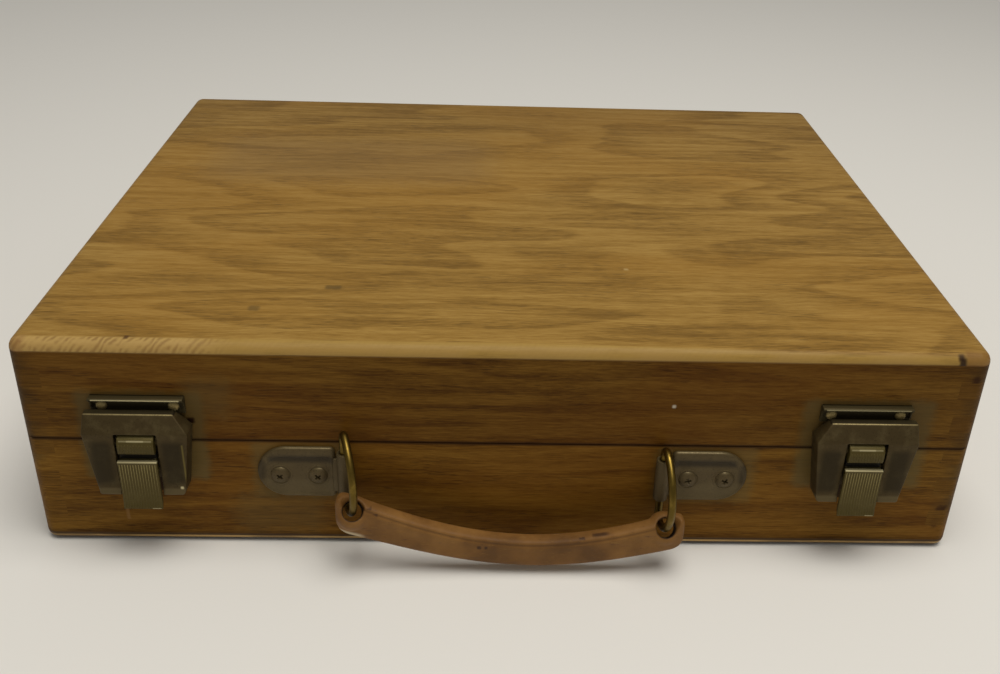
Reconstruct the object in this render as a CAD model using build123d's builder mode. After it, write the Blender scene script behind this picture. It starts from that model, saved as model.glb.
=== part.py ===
from build123d import *
from math import atan2, cos, radians, sin, sqrt, tan
import os

# Artist's paint box: a finger-jointed oak case with a hinged lid, two toggle
# catches, and a leather handle on two wire rings. Millimetres, +Z up.
# The origin is the middle of the underside, the front faces -Y.

# Case
width = 324.0
depth = 248.0
base_height = 44.5
lid_height = 38.0
parting_gap = 0.3
wall = 9.5
panel = 4.0
corner_radius = 4.2
edge_radius = 3.7
finger_count_base = 6
finger_count_lid = 5

total_height = base_height + lid_height
lid_rim = base_height + parting_gap
parting = base_height + parting_gap / 2
lid_wall_top = total_height - panel
front_face = -depth / 2
back_face = depth / 2
inner_x = width / 2 - wall
inner_y = depth / 2 - wall

# Back hinges: the pin lies in a vee between two bevels, which stop the lid
hinge_x = 105.0
hinge_length = 38.0
hinge_setback = 3.0
hinge_pin_radius = 1.0
hinge_bore_radius = 1.05
knuckle_radius = 2.1
knuckle_count = 3
knuckle_gap = 0.3
leaf_thickness = 1.1
leaf_reach = 5.9
hinge_screw_offset = 12.0
hinge_screw_shank = 0.95
hinge_screw_head = 1.5
hinge_screw_length = 9.0
lid_stop_angle = 100.0
bevel_gap = 0.15
hinge_y = back_face - hinge_setback
hinge_screw_y = hinge_y - 4.1

# Lid stay: its pivot and stud lie at one radius from the hinge pin, so it turns half as far as the lid
stay_radius = 22.5
stay_angle = 18.0
stay_outer_x = 151.8
stay_thickness = 1.2
stay_half_width = 3.3
stay_slot_half = 1.7
stay_pin_radius = 1.4
stay_bore_radius = 1.48
stay_y = hinge_y - stay_radius * cos(radians(stay_angle))
stay_rise = stay_radius * sin(radians(stay_angle))
stay_pivot = (stay_y, parting + stay_rise)
stay_stud = (stay_y, parting - stay_rise)
stay_closed = 2 * stay_rise
stay_open = 2 * stay_radius * sin(radians(stay_angle + lid_stop_angle / 2))

# Dividers in the base
divider_thickness = 4.8
divider_height = 30.0
divider_y = -62.0
divider_x = 50.8
groove_depth = 2.0

# Palette in the lid
palette_thickness = 3.2
rail_width = 12.0
rail_height = 11.0
rebate_width = 5.0
rebate_height = 3.5
palette_side_gap = 4.0
button_length = 22.0
button_width = 7.0
button_thickness = 1.2
button_pivot_inset = 4.0
running_gap = 0.3

# Toggle catches
catch_x = 122.0
sheet = 0.9
plate_face = 8.0
plate_top_z = 58.3
plate_shoulder_z = 52.0
plate_bottom_z = 28.0
plate_half_top = 14.7
plate_top_shift = 2.2
plate_half_shoulder = 17.3
plate_half_bottom = 14.3
roof_top_out = 5.2
window_half = 6.95
window_top_z = 52.0
pivot_out = 4.6
pivot_z = 48.0
link_out = 4.2
link_z = 40.0
catch_pin_radius = 1.2
catch_bore_radius = 1.28
lever_half = 6.6
knob_half = 6.0
lever_open_angle = 125.0

# Handle plates, rings and handle
barrel_x = 54.6
barrel_out = 3.1
barrel_z = 31.6
barrel_length = 14.2
barrel_radius = 2.5
wire_radius = 1.35
ring_bore_radius = 1.42
plate_length = 26.6
plate_height = 20.6
handle_plate_z = 32.4
ring_bow = 15.3
ring_corner = 3.0
ring_left_z = 36.2
ring_right_z = 31.1
ring_left_turn = 18.0
ring_right_turn = 5.0
eye_left_angle = 42.0
eye_right_angle = 50.0
eye_radius = 4.4
eye_outer_radius = 6.5
eye_depth = 11.0
grip_out = 9.6
grip_depth = 6.2
grip_upper = [(-50.5, 31.6), (-41.6, 27.4), (-25.2, 19.8), (-1.0, 15.3), (16.3, 15.0), (33.6, 16.8), (46.1, 20.3), (57.0, 24.4)]
grip_lower = [(-53.0, 19.2), (-44.7, 15.2), (-25.0, 8.3), (-0.9, 4.0), (16.5, 4.0), (33.7, 5.6), (46.3, 7.8), (59.0, 11.2)]
grip_edge = 1.8

os.makedirs("parts", exist_ok=True)


def save(part, label):
    """Label a finished piece and write it as its own STEP file."""
    part.label = label
    export_step(part, f"parts/{label}.step")


def case_outline(inset=0.0):
    """The plan of the case with its rounded upright corners."""
    return RectangleRounded(width - 2 * inset, depth - 2 * inset, corner_radius - inset)


# Case panels: full-size sheets with rounded outer edges, glued on the walls
def case_panel(low, outer_group):
    with BuildPart() as piece:
        with BuildSketch(Plane.XY.offset(low)):
            case_outline()
        extrude(amount=panel)
        outer = piece.faces().sort_by(Axis.Z)[outer_group].outer_wire().edges()
        fillet(outer, edge_radius)
    return piece.part


# Case walls: long walls carry the odd fingers, short walls the even ones
def finger_bands(low, high, count, odd):
    pitch = (high - low) / count
    return [(low + i * pitch, pitch) for i in range(count) if i % 2 == (1 if odd else 0)]


def case_wall(side, low, high, count):
    """One wall, with square fingers at both ends, inside the rounded case outline."""
    along_x = side in ("front", "back")
    sign = -1 if side in ("front", "left") else 1
    with BuildPart() as piece:
        with BuildSketch(Plane.XY.offset(low)):
            if along_x:
                with Locations((0, sign * (depth - wall) / 2)):
                    Rectangle(width, wall)
            else:
                with Locations((sign * (width - wall) / 2, 0)):
                    Rectangle(wall, depth)
        extrude(amount=high - low)
        for z, pitch in finger_bands(low, high, count, along_x):
            with BuildSketch(Plane.XY.offset(z)):
                with GridLocations(width - wall, depth - wall, 2, 2):
                    Rectangle(wall, wall)
            extrude(amount=pitch, mode=Mode.SUBTRACT)
        with BuildSketch(Plane.XY.offset(low)):
            case_outline()
        extrude(amount=high - low, mode=Mode.INTERSECT)
    return piece.part


# The bevels along the back: each leans half the stop angle from the parting plane
def back_bevel(up):
    half = lid_stop_angle / 2
    reach = hinge_setback + 2.0
    rise = reach * tan(radians(half))
    start = bevel_gap / sin(radians(half))
    with BuildPart(mode=Mode.PRIVATE) as cut:
        with BuildSketch(Plane.YZ.offset(-width / 2)):
            with BuildLine():
                Polyline(
                    (hinge_y - start, parting),
                    (hinge_y + reach, parting),
                    (hinge_y + reach, parting + up * (rise + bevel_gap / cos(radians(half)))),
                    close=True,
                )
            make_face()
        extrude(amount=width)
    return cut.part


hinge_screw_places = [(x + k, hinge_screw_y) for x in (-hinge_x, hinge_x) for k in (-hinge_screw_offset, hinge_screw_offset)]


def hinge_mortises(up):
    """Room for the leaves, the knuckles and the leaf screws of both hinges."""
    rim = base_height if up < 0 else lid_rim
    with BuildPart(mode=Mode.PRIVATE) as cut:
        with BuildSketch(Plane.XY.offset(rim)):
            with Locations((-hinge_x, hinge_y - leaf_reach / 2), (hinge_x, hinge_y - leaf_reach / 2)):
                Rectangle(hinge_length, leaf_reach)
        extrude(amount=up * leaf_thickness)
        with BuildSketch(Plane.YZ.offset(-hinge_x - hinge_length / 2 - 0.2)):
            with Locations((hinge_y, parting)):
                Circle(knuckle_radius + 0.3)
        extrude(amount=hinge_length + 0.4)
        with BuildSketch(Plane.YZ.offset(hinge_x - hinge_length / 2 - 0.2)):
            with Locations((hinge_y, parting)):
                Circle(knuckle_radius + 0.3)
        extrude(amount=hinge_length + 0.4)
        with BuildSketch(Plane.XY.offset(rim)):
            with Locations(*hinge_screw_places):
                Circle(hinge_screw_shank)
        extrude(amount=up * hinge_screw_length)
    return cut.part


# Screws of the handle plates, the rivets of the catches and the turn-buttons
plate_screw_x = (77.0, 64.0)
plate_screw_z = 31.0
plate_screw_shank = 1.5
plate_screw_length = 9.0
strike_rivet_x = 11.8
strike_rivet_z = 59.6
base_rivet_x = 9.6
base_rivet_z = 33.0
rivet_shank = 1.3
rivet_head = 2.0
button_screw_shank = 1.4


def front_holes(places, radius, length):
    """Round holes going back from the front face, one at each (x, z)."""
    with BuildPart(mode=Mode.PRIVATE) as cut:
        with BuildSketch(Plane.XZ.offset(-front_face)):
            with Locations(*places):
                Circle(radius)
        extrude(amount=-length)
    return cut.part


def both_sides(xs, z):
    return [(side * x, z) for side in (-1, 1) for x in xs]


strike_holes = both_sides((catch_x - strike_rivet_x, catch_x + strike_rivet_x), strike_rivet_z)
base_catch_holes = both_sides((catch_x - base_rivet_x, catch_x + base_rivet_x), base_rivet_z)
handle_holes = both_sides(plate_screw_x, plate_screw_z)


def stay_hole(place):
    """The screw hole for the lid stay, going into the right wall's inner face."""
    with BuildPart(mode=Mode.PRIVATE) as cut:
        with BuildSketch(Plane.YZ.offset(inner_x - 1)):
            with Locations(place):
                Circle(stay_pin_radius)
        extrude(amount=8)
    return cut.part


def divider_grooves(side):
    """Shallow grooves that hold the dividers' ends."""
    with BuildPart(mode=Mode.PRIVATE) as cut:
        with BuildSketch(Plane.XY.offset(panel)):
            if side == "back":
                with Locations((-divider_x, inner_y), (divider_x, inner_y)):
                    Rectangle(divider_thickness, 2 * groove_depth)
            else:
                sign = -1 if side == "left" else 1
                with Locations((sign * inner_x, divider_y)):
                    Rectangle(2 * groove_depth, divider_thickness)
        extrude(amount=divider_height)
    return cut.part


base_panel = case_panel(0, 0)
save(base_panel, "base_bottom_panel")
lid_panel = case_panel(lid_wall_top, -1)
save(lid_panel, "lid_top_panel")

for side in ("front", "back", "left", "right"):
    with BuildPart() as base_wall:
        add(case_wall(side, panel, base_height, finger_count_base))
        if side == "front":
            add(front_holes(base_catch_holes, rivet_shank, 7.0), mode=Mode.SUBTRACT)
            add(front_holes(handle_holes, plate_screw_shank, plate_screw_length), mode=Mode.SUBTRACT)
        else:
            add(divider_grooves(side), mode=Mode.SUBTRACT)
            add(back_bevel(-1), mode=Mode.SUBTRACT)
        if side == "back":
            add(hinge_mortises(-1), mode=Mode.SUBTRACT)
        if side == "right":
            add(stay_hole(stay_stud), mode=Mode.SUBTRACT)
    save(base_wall.part, f"base_{side}_wall")

    with BuildPart() as lid_wall:
        add(case_wall(side, lid_rim, lid_wall_top, finger_count_lid))
        if side == "front":
            add(front_holes(strike_holes, rivet_shank, 7.0), mode=Mode.SUBTRACT)
        else:
            add(back_bevel(1), mode=Mode.SUBTRACT)
        if side == "back":
            add(hinge_mortises(1), mode=Mode.SUBTRACT)
        if side == "right":
            add(stay_hole(stay_pivot), mode=Mode.SUBTRACT)
    save(lid_wall.part, f"lid_{side}_wall")


# Dividers: one along the front for the brushes, two behind it for the tubes
divider_front = divider_y - divider_thickness / 2
divider_back = divider_y + divider_thickness / 2
with BuildPart() as brush_divider:
    with BuildSketch(Plane.XY.offset(panel)):
        with Locations((0, divider_y)):
            Rectangle(2 * (inner_x + groove_depth), divider_thickness)
        with Locations((-divider_x, divider_back), (divider_x, divider_back)):
            Rectangle(divider_thickness, 2 * groove_depth, mode=Mode.SUBTRACT)
    extrude(amount=divider_height)
save(brush_divider.part, "brush_divider")

cross_start = divider_back - groove_depth
cross_end = inner_y + groove_depth
for name, x in (("tube_divider_left", -divider_x), ("tube_divider_right", divider_x)):
    with BuildPart() as tube_divider:
        with BuildSketch(Plane.XY.offset(panel)):
            with Locations((x, (cross_start + cross_end) / 2)):
                Rectangle(divider_thickness, cross_end - cross_start)
        extrude(amount=divider_height)
    save(tube_divider.part, name)


# Rebated rails under the lid and the palette that lies in them
rail_low = lid_wall_top - rail_height
for name, sign in (("palette_rail_front", -1), ("palette_rail_back", 1)):
    with BuildPart() as rail:
        with BuildSketch(Plane.YZ.offset(-inner_x)):
            with BuildLine():
                Polyline(
                    (sign * inner_y, rail_low),
                    (sign * inner_y, lid_wall_top),
                    (sign * (inner_y - rail_width), lid_wall_top),
                    (sign * (inner_y - rail_width), rail_low + rebate_height),
                    (sign * (inner_y - rail_width + rebate_width), rail_low + rebate_height),
                    (sign * (inner_y - rail_width + rebate_width), rail_low),
                    close=True,
                )
            make_face()
        extrude(amount=2 * inner_x)
        with BuildSketch(Plane.XY.offset(rail_low)):
            with Locations((0, sign * (inner_y - button_pivot_inset))):
                Circle(button_screw_shank)
        extrude(amount=7, mode=Mode.SUBTRACT)
    save(rail.part, name)

palette_x = 2 * (inner_x - palette_side_gap)
palette_y = 2 * (inner_y - rail_width + rebate_width - 0.4)
palette_low = rail_low + 0.1
with BuildPart() as palette:
    with BuildSketch(Plane.XY.offset(palette_low)):
        RectangleRounded(palette_x, palette_y, 12)
        with Locations((palette_x / 2 - 52, -18)):
            Ellipse(19, 13, rotation=35, mode=Mode.SUBTRACT)
    extrude(amount=palette_thickness)
save(palette.part, "palette")

# Turn-buttons: small brass tongues that hold the palette in its rails
button_top = rail_low - running_gap
for name, sign in (("front", -1), ("back", 1)):
    pivot_y = sign * (inner_y - button_pivot_inset)
    with BuildPart() as turn_button:
        with BuildSketch(Plane.XY.offset(button_top - button_thickness)):
            with Locations((0, pivot_y - sign * (button_length / 2 - button_width / 2))):
                SlotOverall(button_length, button_width, rotation=90)
        extrude(amount=button_thickness)
        with Locations((0, pivot_y, button_top)):
            Hole(button_screw_shank + 0.08)
    save(turn_button.part, f"turn_button_{name}")
    with BuildPart() as button_screw:
        head_low = button_top - button_thickness - running_gap
        with BuildSketch(Plane.XZ.offset(-pivot_y)):
            with BuildLine():
                Polyline(
                    (0, head_low - 1.6),
                    (1.9, head_low - 1.2),
                    (2.9, head_low),
                    (button_screw_shank, head_low),
                    (button_screw_shank, rail_low + 7),
                    (0, rail_low + 7),
                    close=True,
                )
            make_face()
        revolve(axis=Axis((0, pivot_y, 0), (0, 0, 1)))
    save(button_screw.part, f"turn_button_screw_{name}")


# Butt hinges: two knuckles on the base leaf, one on the lid leaf, one pin
knuckle_pitch = hinge_length / knuckle_count


def hinge_leaf(x, up):
    first = 0 if up < 0 else 1
    rim = base_height if up < 0 else lid_rim
    start = x - hinge_length / 2
    with BuildPart() as leaf:
        with BuildSketch(Plane.XY.offset(rim)):
            with Locations((x, hinge_y - leaf_reach / 2)):
                Rectangle(hinge_length, leaf_reach)
        extrude(amount=up * leaf_thickness)
        for k in range(knuckle_count):
            low = start + k * knuckle_pitch
            if k % 2 == first:
                with BuildSketch(Plane.YZ.offset(low + knuckle_gap / 2)):
                    with Locations((hinge_y, parting)):
                        Circle(knuckle_radius)
                extrude(amount=knuckle_pitch - knuckle_gap)
            else:
                with BuildSketch(Plane.YZ.offset(low - knuckle_gap / 2)):
                    with Locations((hinge_y, parting)):
                        Circle(knuckle_radius + 0.3)
                extrude(amount=knuckle_pitch + knuckle_gap, mode=Mode.SUBTRACT)
        with BuildSketch(Plane.YZ.offset(start - 1)):
            with Locations((hinge_y, parting)):
                Circle(hinge_bore_radius)
        extrude(amount=hinge_length + 2, mode=Mode.SUBTRACT)
        for k in (-hinge_screw_offset, hinge_screw_offset):
            with BuildSketch(Plane.XZ.offset(-hinge_screw_y)):
                with BuildLine():
                    Polyline(
                        (x + k, rim),
                        (x + k + hinge_screw_head, rim),
                        (x + k + hinge_screw_shank, rim + up * (hinge_screw_head - hinge_screw_shank)),
                        (x + k + hinge_screw_shank, rim + up * 2),
                        (x + k, rim + up * 2),
                        close=True,
                    )
                make_face()
            revolve(axis=Axis((x + k, hinge_screw_y, 0), (0, 0, 1)), mode=Mode.SUBTRACT)
    return leaf.part


def countersunk_screws(rim, up):
    with BuildPart() as screws:
        for x, y in hinge_screw_places:
            with BuildSketch(Plane.XZ.offset(-y)):
                with BuildLine():
                    Polyline(
                        (x, rim),
                        (x + hinge_screw_head, rim),
                        (x + hinge_screw_shank, rim + up * (hinge_screw_head - hinge_screw_shank)),
                        (x + hinge_screw_shank, rim + up * hinge_screw_length),
                        (x, rim + up * hinge_screw_length),
                        close=True,
                    )
                make_face()
            revolve(axis=Axis((x, y, 0), (0, 0, 1)))
    return screws.part


for name, x in (("left", -hinge_x), ("right", hinge_x)):
    save(hinge_leaf(x, -1), f"hinge_{name}_base_leaf")
    save(hinge_leaf(x, 1), f"hinge_{name}_lid_leaf")
    with BuildPart() as hinge_pin:
        with BuildSketch(Plane.YZ.offset(x - hinge_length / 2)):
            with Locations((hinge_y, parting)):
                Circle(hinge_pin_radius)
        extrude(amount=hinge_length)
    save(hinge_pin.part, f"hinge_{name}_pin")
save(countersunk_screws(base_height, -1), "hinge_screws_base")
save(countersunk_screws(lid_rim, 1), "hinge_screws_lid")


# Shared shapes for the fittings on the front
def outward(out):
    """The plane parallel to the front face, this far in front of it."""
    return Plane.XZ.offset(out - front_face)


def turned_inward(x, z, profile):
    """A solid of revolution on a line square to the front; profile is (radius, out)."""
    with BuildPart() as piece:
        with BuildSketch(Plane.XY.offset(z)):
            with BuildLine():
                Polyline(*[(x + radius, front_face - out) for radius, out in profile], close=True)
            make_face()
        revolve(axis=Axis((x, 0, z), (0, 1, 0)))
    return piece.part


def sheet_from_side(x, thickness, points):
    """Sheet metal cut to a side outline of (out, z) points, centred on x."""
    with BuildPart() as piece:
        with BuildSketch(Plane.YZ.offset(x - thickness / 2)):
            with BuildLine():
                Polyline(*[(front_face - out, z) for out, z in points], close=True)
            make_face()
        extrude(amount=thickness)
    return piece.part


def cross_pin(x, half_length, radius, out, z):
    """A round bar along X, centred on x."""
    with BuildPart() as piece:
        with BuildSketch(Plane.YZ.offset(x - half_length)):
            with Locations((front_face - out, z)):
                Circle(radius)
        extrude(amount=2 * half_length)
    return piece.part


def rivet_pair(cx, spacing, z, under):
    """Two domed rivets; under is how far out the sheet's face lies."""
    dome = [(0, under + 1.0), (1.3, under + 0.75), (rivet_head, under)]
    shank = [(rivet_shank, under), (rivet_shank, -7.0), (0, -7.0)]
    with BuildPart() as pair:
        for side in (-1, 1):
            add(turned_inward(cx + side * spacing, z, dome + shank))
    return pair.part


# Strike: a pressed tray on the lid with a shelf that the draw plate hooks over
strike_half = 15.5
strike_low_z = 56.1
strike_top_z = 62.7
strike_reach = 4.0
shelf_half = 12.6
shelf_shift = 1.5
shelf_reach = 4.3
shelf_top_z = 57.1


def strike(cx):
    with BuildPart() as piece:
        with BuildSketch(outward(0)):
            with Locations((cx, (strike_low_z + strike_top_z) / 2)):
                Rectangle(2 * strike_half, strike_top_z - strike_low_z)
        extrude(amount=sheet)
        with BuildSketch(outward(0)):
            with Locations((cx, strike_top_z - sheet / 2)):
                Rectangle(2 * strike_half, sheet)
        extrude(amount=strike_reach)
        with BuildSketch(outward(0)):
            with Locations((cx + (shelf_shift if cx > 0 else -shelf_shift), (strike_low_z + shelf_top_z) / 2)):
                Rectangle(2 * shelf_half, shelf_top_z - strike_low_z)
        extrude(amount=shelf_reach)
        for side in (-1, 1):
            rim_points = [(0, 59.4), (strike_reach, 61.0), (strike_reach, strike_top_z), (0, strike_top_z)]
            add(sheet_from_side(cx + side * (strike_half - sheet / 2), sheet, rim_points))
        front = piece.edges().filter_by(Axis.X).group_by(Axis.Y)[0]
        fillet(front, 0.35)
        add(rivet_holes(cx, strike_rivet_x, strike_rivet_z), mode=Mode.SUBTRACT)
    return piece.part


def rivet_holes(cx, spacing, z):
    with BuildPart() as holes:
        with BuildSketch(outward(-1)):
            with Locations((cx - spacing, z), (cx + spacing, z)):
                Circle(rivet_shank)
        extrude(amount=4)
    return holes.part


# Base plate: carries the two ears that hold the lever's pivot
base_plate_half = 12.6
base_plate_low_z = 29.6
base_plate_top_z = 44.2
base_plate_thickness = 1.1
ear_inner = 6.95
pivot_ear = 1.0
pivot_ear_radius = 2.1


def base_plate(cx):
    with BuildPart() as piece:
        with BuildSketch(outward(0)):
            with Locations((cx, (base_plate_low_z + base_plate_top_z) / 2)):
                Rectangle(2 * base_plate_half, base_plate_top_z - base_plate_low_z)
        extrude(amount=base_plate_thickness)
        for side in (-1, 1):
            ear_x = cx + side * (ear_inner + pivot_ear / 2)
            neck = [
                (0, 41.8),
                (0, base_plate_top_z),
                (pivot_out - 1.8, pivot_z + 1.1),
                (pivot_out + 1.0, pivot_z - 1.85),
                (base_plate_thickness, 41.8),
            ]
            add(sheet_from_side(ear_x, pivot_ear, neck))
            add(cross_pin(ear_x, pivot_ear / 2, pivot_ear_radius, pivot_out, pivot_z))
        add(cross_pin(cx, 9, catch_pin_radius, pivot_out, pivot_z), mode=Mode.SUBTRACT)
        add(rivet_holes(cx, base_rivet_x, base_rivet_z), mode=Mode.SUBTRACT)
    return piece.part


# Pins: headed at both ends, outside the ears they join
pivot_head_x = ear_inner + pivot_ear
link_ear = 0.9
link_head_x = ear_inner + link_ear + running_gap


def headed_pin(cx, out, z, head_x, head_radius):
    with BuildPart() as piece:
        add(cross_pin(cx, head_x, catch_pin_radius, out, z))
        for side in (-1, 1):
            add(cross_pin(cx + side * (head_x + 0.3), 0.3, head_radius, out, z))
    return piece.part


# Lever: a pressed channel with a rounded knob above and a finger tab below
cheek_half = 6.0
cheek = 1.0
tab_front = 9.8
tab_back = 8.2
tab_top_z = 42.1
tab_low_z = 22.7
knob_front = 8.8
knob_top_z = 51.7
knob_low_z = 44.1


def lever(cx):
    with BuildPart() as piece:
        with BuildSketch(Plane.YZ.offset(cx - knob_half)):
            with BuildLine():
                crown = ThreePointArc(
                    (front_face - 4.6, knob_top_z),
                    (front_face - 7.6, 50.8),
                    (front_face - knob_front, 48.0),
                )
                chin = ThreePointArc(
                    (front_face - knob_front, 45.4),
                    (front_face - 8.4, 44.45),
                    (front_face - 7.4, knob_low_z),
                )
                Line(crown @ 1, chin @ 0)
                Polyline(
                    chin @ 1,
                    (front_face - 7.0, knob_low_z),
                    (front_face - 7.0, tab_top_z),
                    (front_face - tab_back, tab_top_z),
                    (front_face - tab_back, tab_top_z - 1.2),
                    (front_face - 6.1, tab_top_z - 1.2),
                    (front_face - 5.8, 45.3),
                    (front_face - 7.6, 45.6),
                    (front_face - 7.6, 48.0),
                    (front_face - 6.7, 49.9),
                    (front_face - 4.6, 50.5),
                    crown @ 0,
                )
            make_face()
        extrude(amount=2 * knob_half)
        tab = [
            (tab_back, tab_top_z),
            (tab_front - 0.4, tab_top_z),
            (tab_front, tab_top_z - 0.4),
            (tab_front, 25.2),
            (tab_front + 0.5, tab_low_z + 0.3),
            (tab_front - 0.1, tab_low_z),
            (tab_back, 25.0),
        ]
        add(sheet_from_side(cx, 2 * lever_half, tab))
        for side in (-1, 1):
            cheek_x = cx + side * (cheek_half - cheek / 2)
            flank = [
                (4.6, 51.0),
                (7.2, 49.6),
                (7.9, 47.6),
                (7.9, 45.4),
                (6.4, 44.9),
                (6.4, 41.5),
                (8.6, 41.0),
                (8.6, 35.5),
                (5.6, 37.6),
                (3.0, 38.2),
                (2.1, 40.0),
                (2.2, 48.0),
                (2.6, 49.6),
            ]
            add(sheet_from_side(cheek_x, cheek, flank))
            add(cross_pin(cheek_x, cheek / 2, 2.2, link_out, link_z))
        add(cross_pin(cx, 9, catch_bore_radius, pivot_out, pivot_z), mode=Mode.SUBTRACT)
        add(cross_pin(cx, 9, catch_pin_radius, link_out, link_z), mode=Mode.SUBTRACT)
    return piece.part


# Draw plate: a tapered pressed cover, open at the back, with a window for the lever
def draw_plate(cx):
    shift = plate_top_shift if cx > 0 else -plate_top_shift
    outline = [
        (-plate_half_bottom, plate_bottom_z),
        (-plate_half_shoulder, plate_shoulder_z),
        (shift - plate_half_top, plate_top_z),
        (shift + plate_half_top, plate_top_z),
        (plate_half_shoulder, plate_shoulder_z),
        (plate_half_bottom, plate_bottom_z),
    ]
    side_outer = [
        (0.7, plate_bottom_z),
        (plate_face, plate_bottom_z),
        (plate_face, plate_shoulder_z),
        (roof_top_out, plate_top_z),
        (2.2, plate_top_z),
        (2.2, 55.4),
        (0.7, 53.9),
    ]
    inner_outline = [
        (-plate_half_bottom + sheet + 0.12, plate_bottom_z - 1),
        (-plate_half_shoulder + sheet, plate_shoulder_z),
        (shift - plate_half_top + sheet, plate_top_z - sheet),
        (shift + plate_half_top - sheet, plate_top_z - sheet),
        (plate_half_shoulder - sheet, plate_shoulder_z),
        (plate_half_bottom - sheet - 0.12, plate_bottom_z - 1),
    ]
    side_inner = [
        (-1, plate_bottom_z - 1),
        (plate_face - sheet, plate_bottom_z - 1),
        (plate_face - sheet, 51.81),
        (4.61, plate_top_z - sheet),
        (-1, plate_top_z - sheet),
    ]
    with BuildPart() as hollow:
        with BuildSketch(outward(-1)):
            with BuildLine():
                Polyline(*[(cx + x, z) for x, z in inner_outline], close=True)
            make_face()
        extrude(amount=10)
        add(sheet_from_side(cx, 50, side_inner), mode=Mode.INTERSECT)
    with BuildPart() as piece:
        with BuildSketch(outward(0)):
            with BuildLine():
                Polyline(*[(cx + x, z) for x, z in outline], close=True)
            make_face()
        extrude(amount=plate_face)
        add(sheet_from_side(cx, 50, side_outer), mode=Mode.INTERSECT)
        shoulder = piece.edges().filter_by(Axis.X).sort_by_distance((cx, front_face - plate_face, plate_shoulder_z))
        fillet(shoulder[0], 1.2)
        add(hollow.part, mode=Mode.SUBTRACT)
        with BuildSketch(outward(plate_face - 2)):
            with Locations((cx, (window_top_z + plate_bottom_z - 1) / 2)):
                Rectangle(2 * window_half, window_top_z - plate_bottom_z + 1)
        extrude(amount=4, mode=Mode.SUBTRACT)
        for side in (-1, 1):
            ear_x = cx + side * (ear_inner + link_ear / 2)
            ear = [
                (plate_face - sheet, 36.2),
                (link_out + 0.6, link_z - 1.8),
                (link_out + 0.6, link_z + 1.8),
                (plate_face - sheet, 43.8),
            ]
            add(sheet_from_side(ear_x, link_ear, ear))
            add(cross_pin(ear_x, link_ear / 2, 1.9, link_out, link_z))
            lip = [
                (plate_face - sheet, plate_bottom_z),
                (plate_face - sheet, plate_bottom_z + 1.8),
                (plate_face, plate_bottom_z + 1.8),
                (plate_face + 0.7, plate_bottom_z),
            ]
            lip_x = (window_half + plate_half_bottom - 0.4) / 2
            add(sheet_from_side(cx + side * lip_x, plate_half_bottom - 0.4 - window_half, lip))
        add(cross_pin(cx, 9, catch_bore_radius, link_out, link_z), mode=Mode.SUBTRACT)
    return piece.part


for name, x in (("left", -catch_x), ("right", catch_x)):
    save(strike(x), f"catch_{name}_strike")
    save(rivet_pair(x, strike_rivet_x, strike_rivet_z, sheet), f"catch_{name}_strike_rivets")
    save(base_plate(x), f"catch_{name}_base_plate")
    save(rivet_pair(x, base_rivet_x, base_rivet_z, base_plate_thickness), f"catch_{name}_base_rivets")
    save(headed_pin(x, pivot_out, pivot_z, pivot_head_x, 2.0), f"catch_{name}_pivot_pin")
    save(headed_pin(x, link_out, link_z, link_head_x, 1.8), f"catch_{name}_link_pin")
    save(lever(x), f"catch_{name}_lever")
    save(draw_plate(x), f"catch_{name}_draw_plate")


# Handle plates: pressed plates with a rolled barrel for the ring's straight leg
plate_rim = 1.3
plate_field_out = 1.1
plate_rim_out = 1.9
plate_inner_x = 58.0


def handle_plate(side):
    centre_x = side * (plate_inner_x + plate_length / 2)
    round_end = plate_height / 2 - 0.1
    with BuildPart() as piece:
        with BuildSketch(outward(0)):
            with Locations((centre_x, handle_plate_z)):
                Rectangle(plate_length, plate_height)
        extrude(amount=plate_rim_out)
        fillet(piece.edges().filter_by(Axis.Y).group_by(Axis.X)[0 if side < 0 else -1], round_end)
        fillet(piece.edges().filter_by(Axis.Y).group_by(Axis.X)[-1 if side < 0 else 0], 1.5)
        front = piece.faces().sort_by(Axis.Y)[0]
        with BuildSketch(outward(plate_field_out)) as field:
            add(offset(front.moved(Location((0, plate_rim_out - plate_field_out, 0))), -plate_rim))
        extrude(amount=2, mode=Mode.SUBTRACT)
        with BuildSketch(outward(barrel_out - barrel_radius)):
            with Locations((side * (plate_inner_x + barrel_x + 1) / 2, barrel_z)):
                Rectangle(plate_inner_x + 1 - barrel_x, barrel_length)
        extrude(amount=1.2)
        with BuildSketch(Plane.XY.offset(barrel_z - barrel_length / 2)):
            with Locations((side * barrel_x, front_face - barrel_out)):
                Circle(barrel_radius)
        extrude(amount=barrel_length)
        with BuildSketch(Plane.XY.offset(barrel_z - barrel_length / 2 - 1)):
            with Locations((side * barrel_x, front_face - barrel_out)):
                Circle(ring_bore_radius)
        extrude(amount=barrel_length + 2, mode=Mode.SUBTRACT)
        with BuildSketch(outward(-1)):
            with Locations(*[(side * x, plate_screw_z) for x in plate_screw_x]):
                Circle(plate_screw_shank)
        extrude(amount=4, mode=Mode.SUBTRACT)
    return piece.part


def handle_plate_screws():
    """Four oval-headed screws, two on each plate."""
    under = plate_field_out
    head = [(0, under + 1.5), (2.2, under + 1.1), (3.4, under)]
    shank = [(plate_screw_shank, under), (plate_screw_shank, -8.8), (0, -8.8)]
    with BuildPart() as screws:
        for side in (-1, 1):
            for x in plate_screw_x:
                add(turned_inward(side * x, plate_screw_z, head + shank))
    return screws.part


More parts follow.
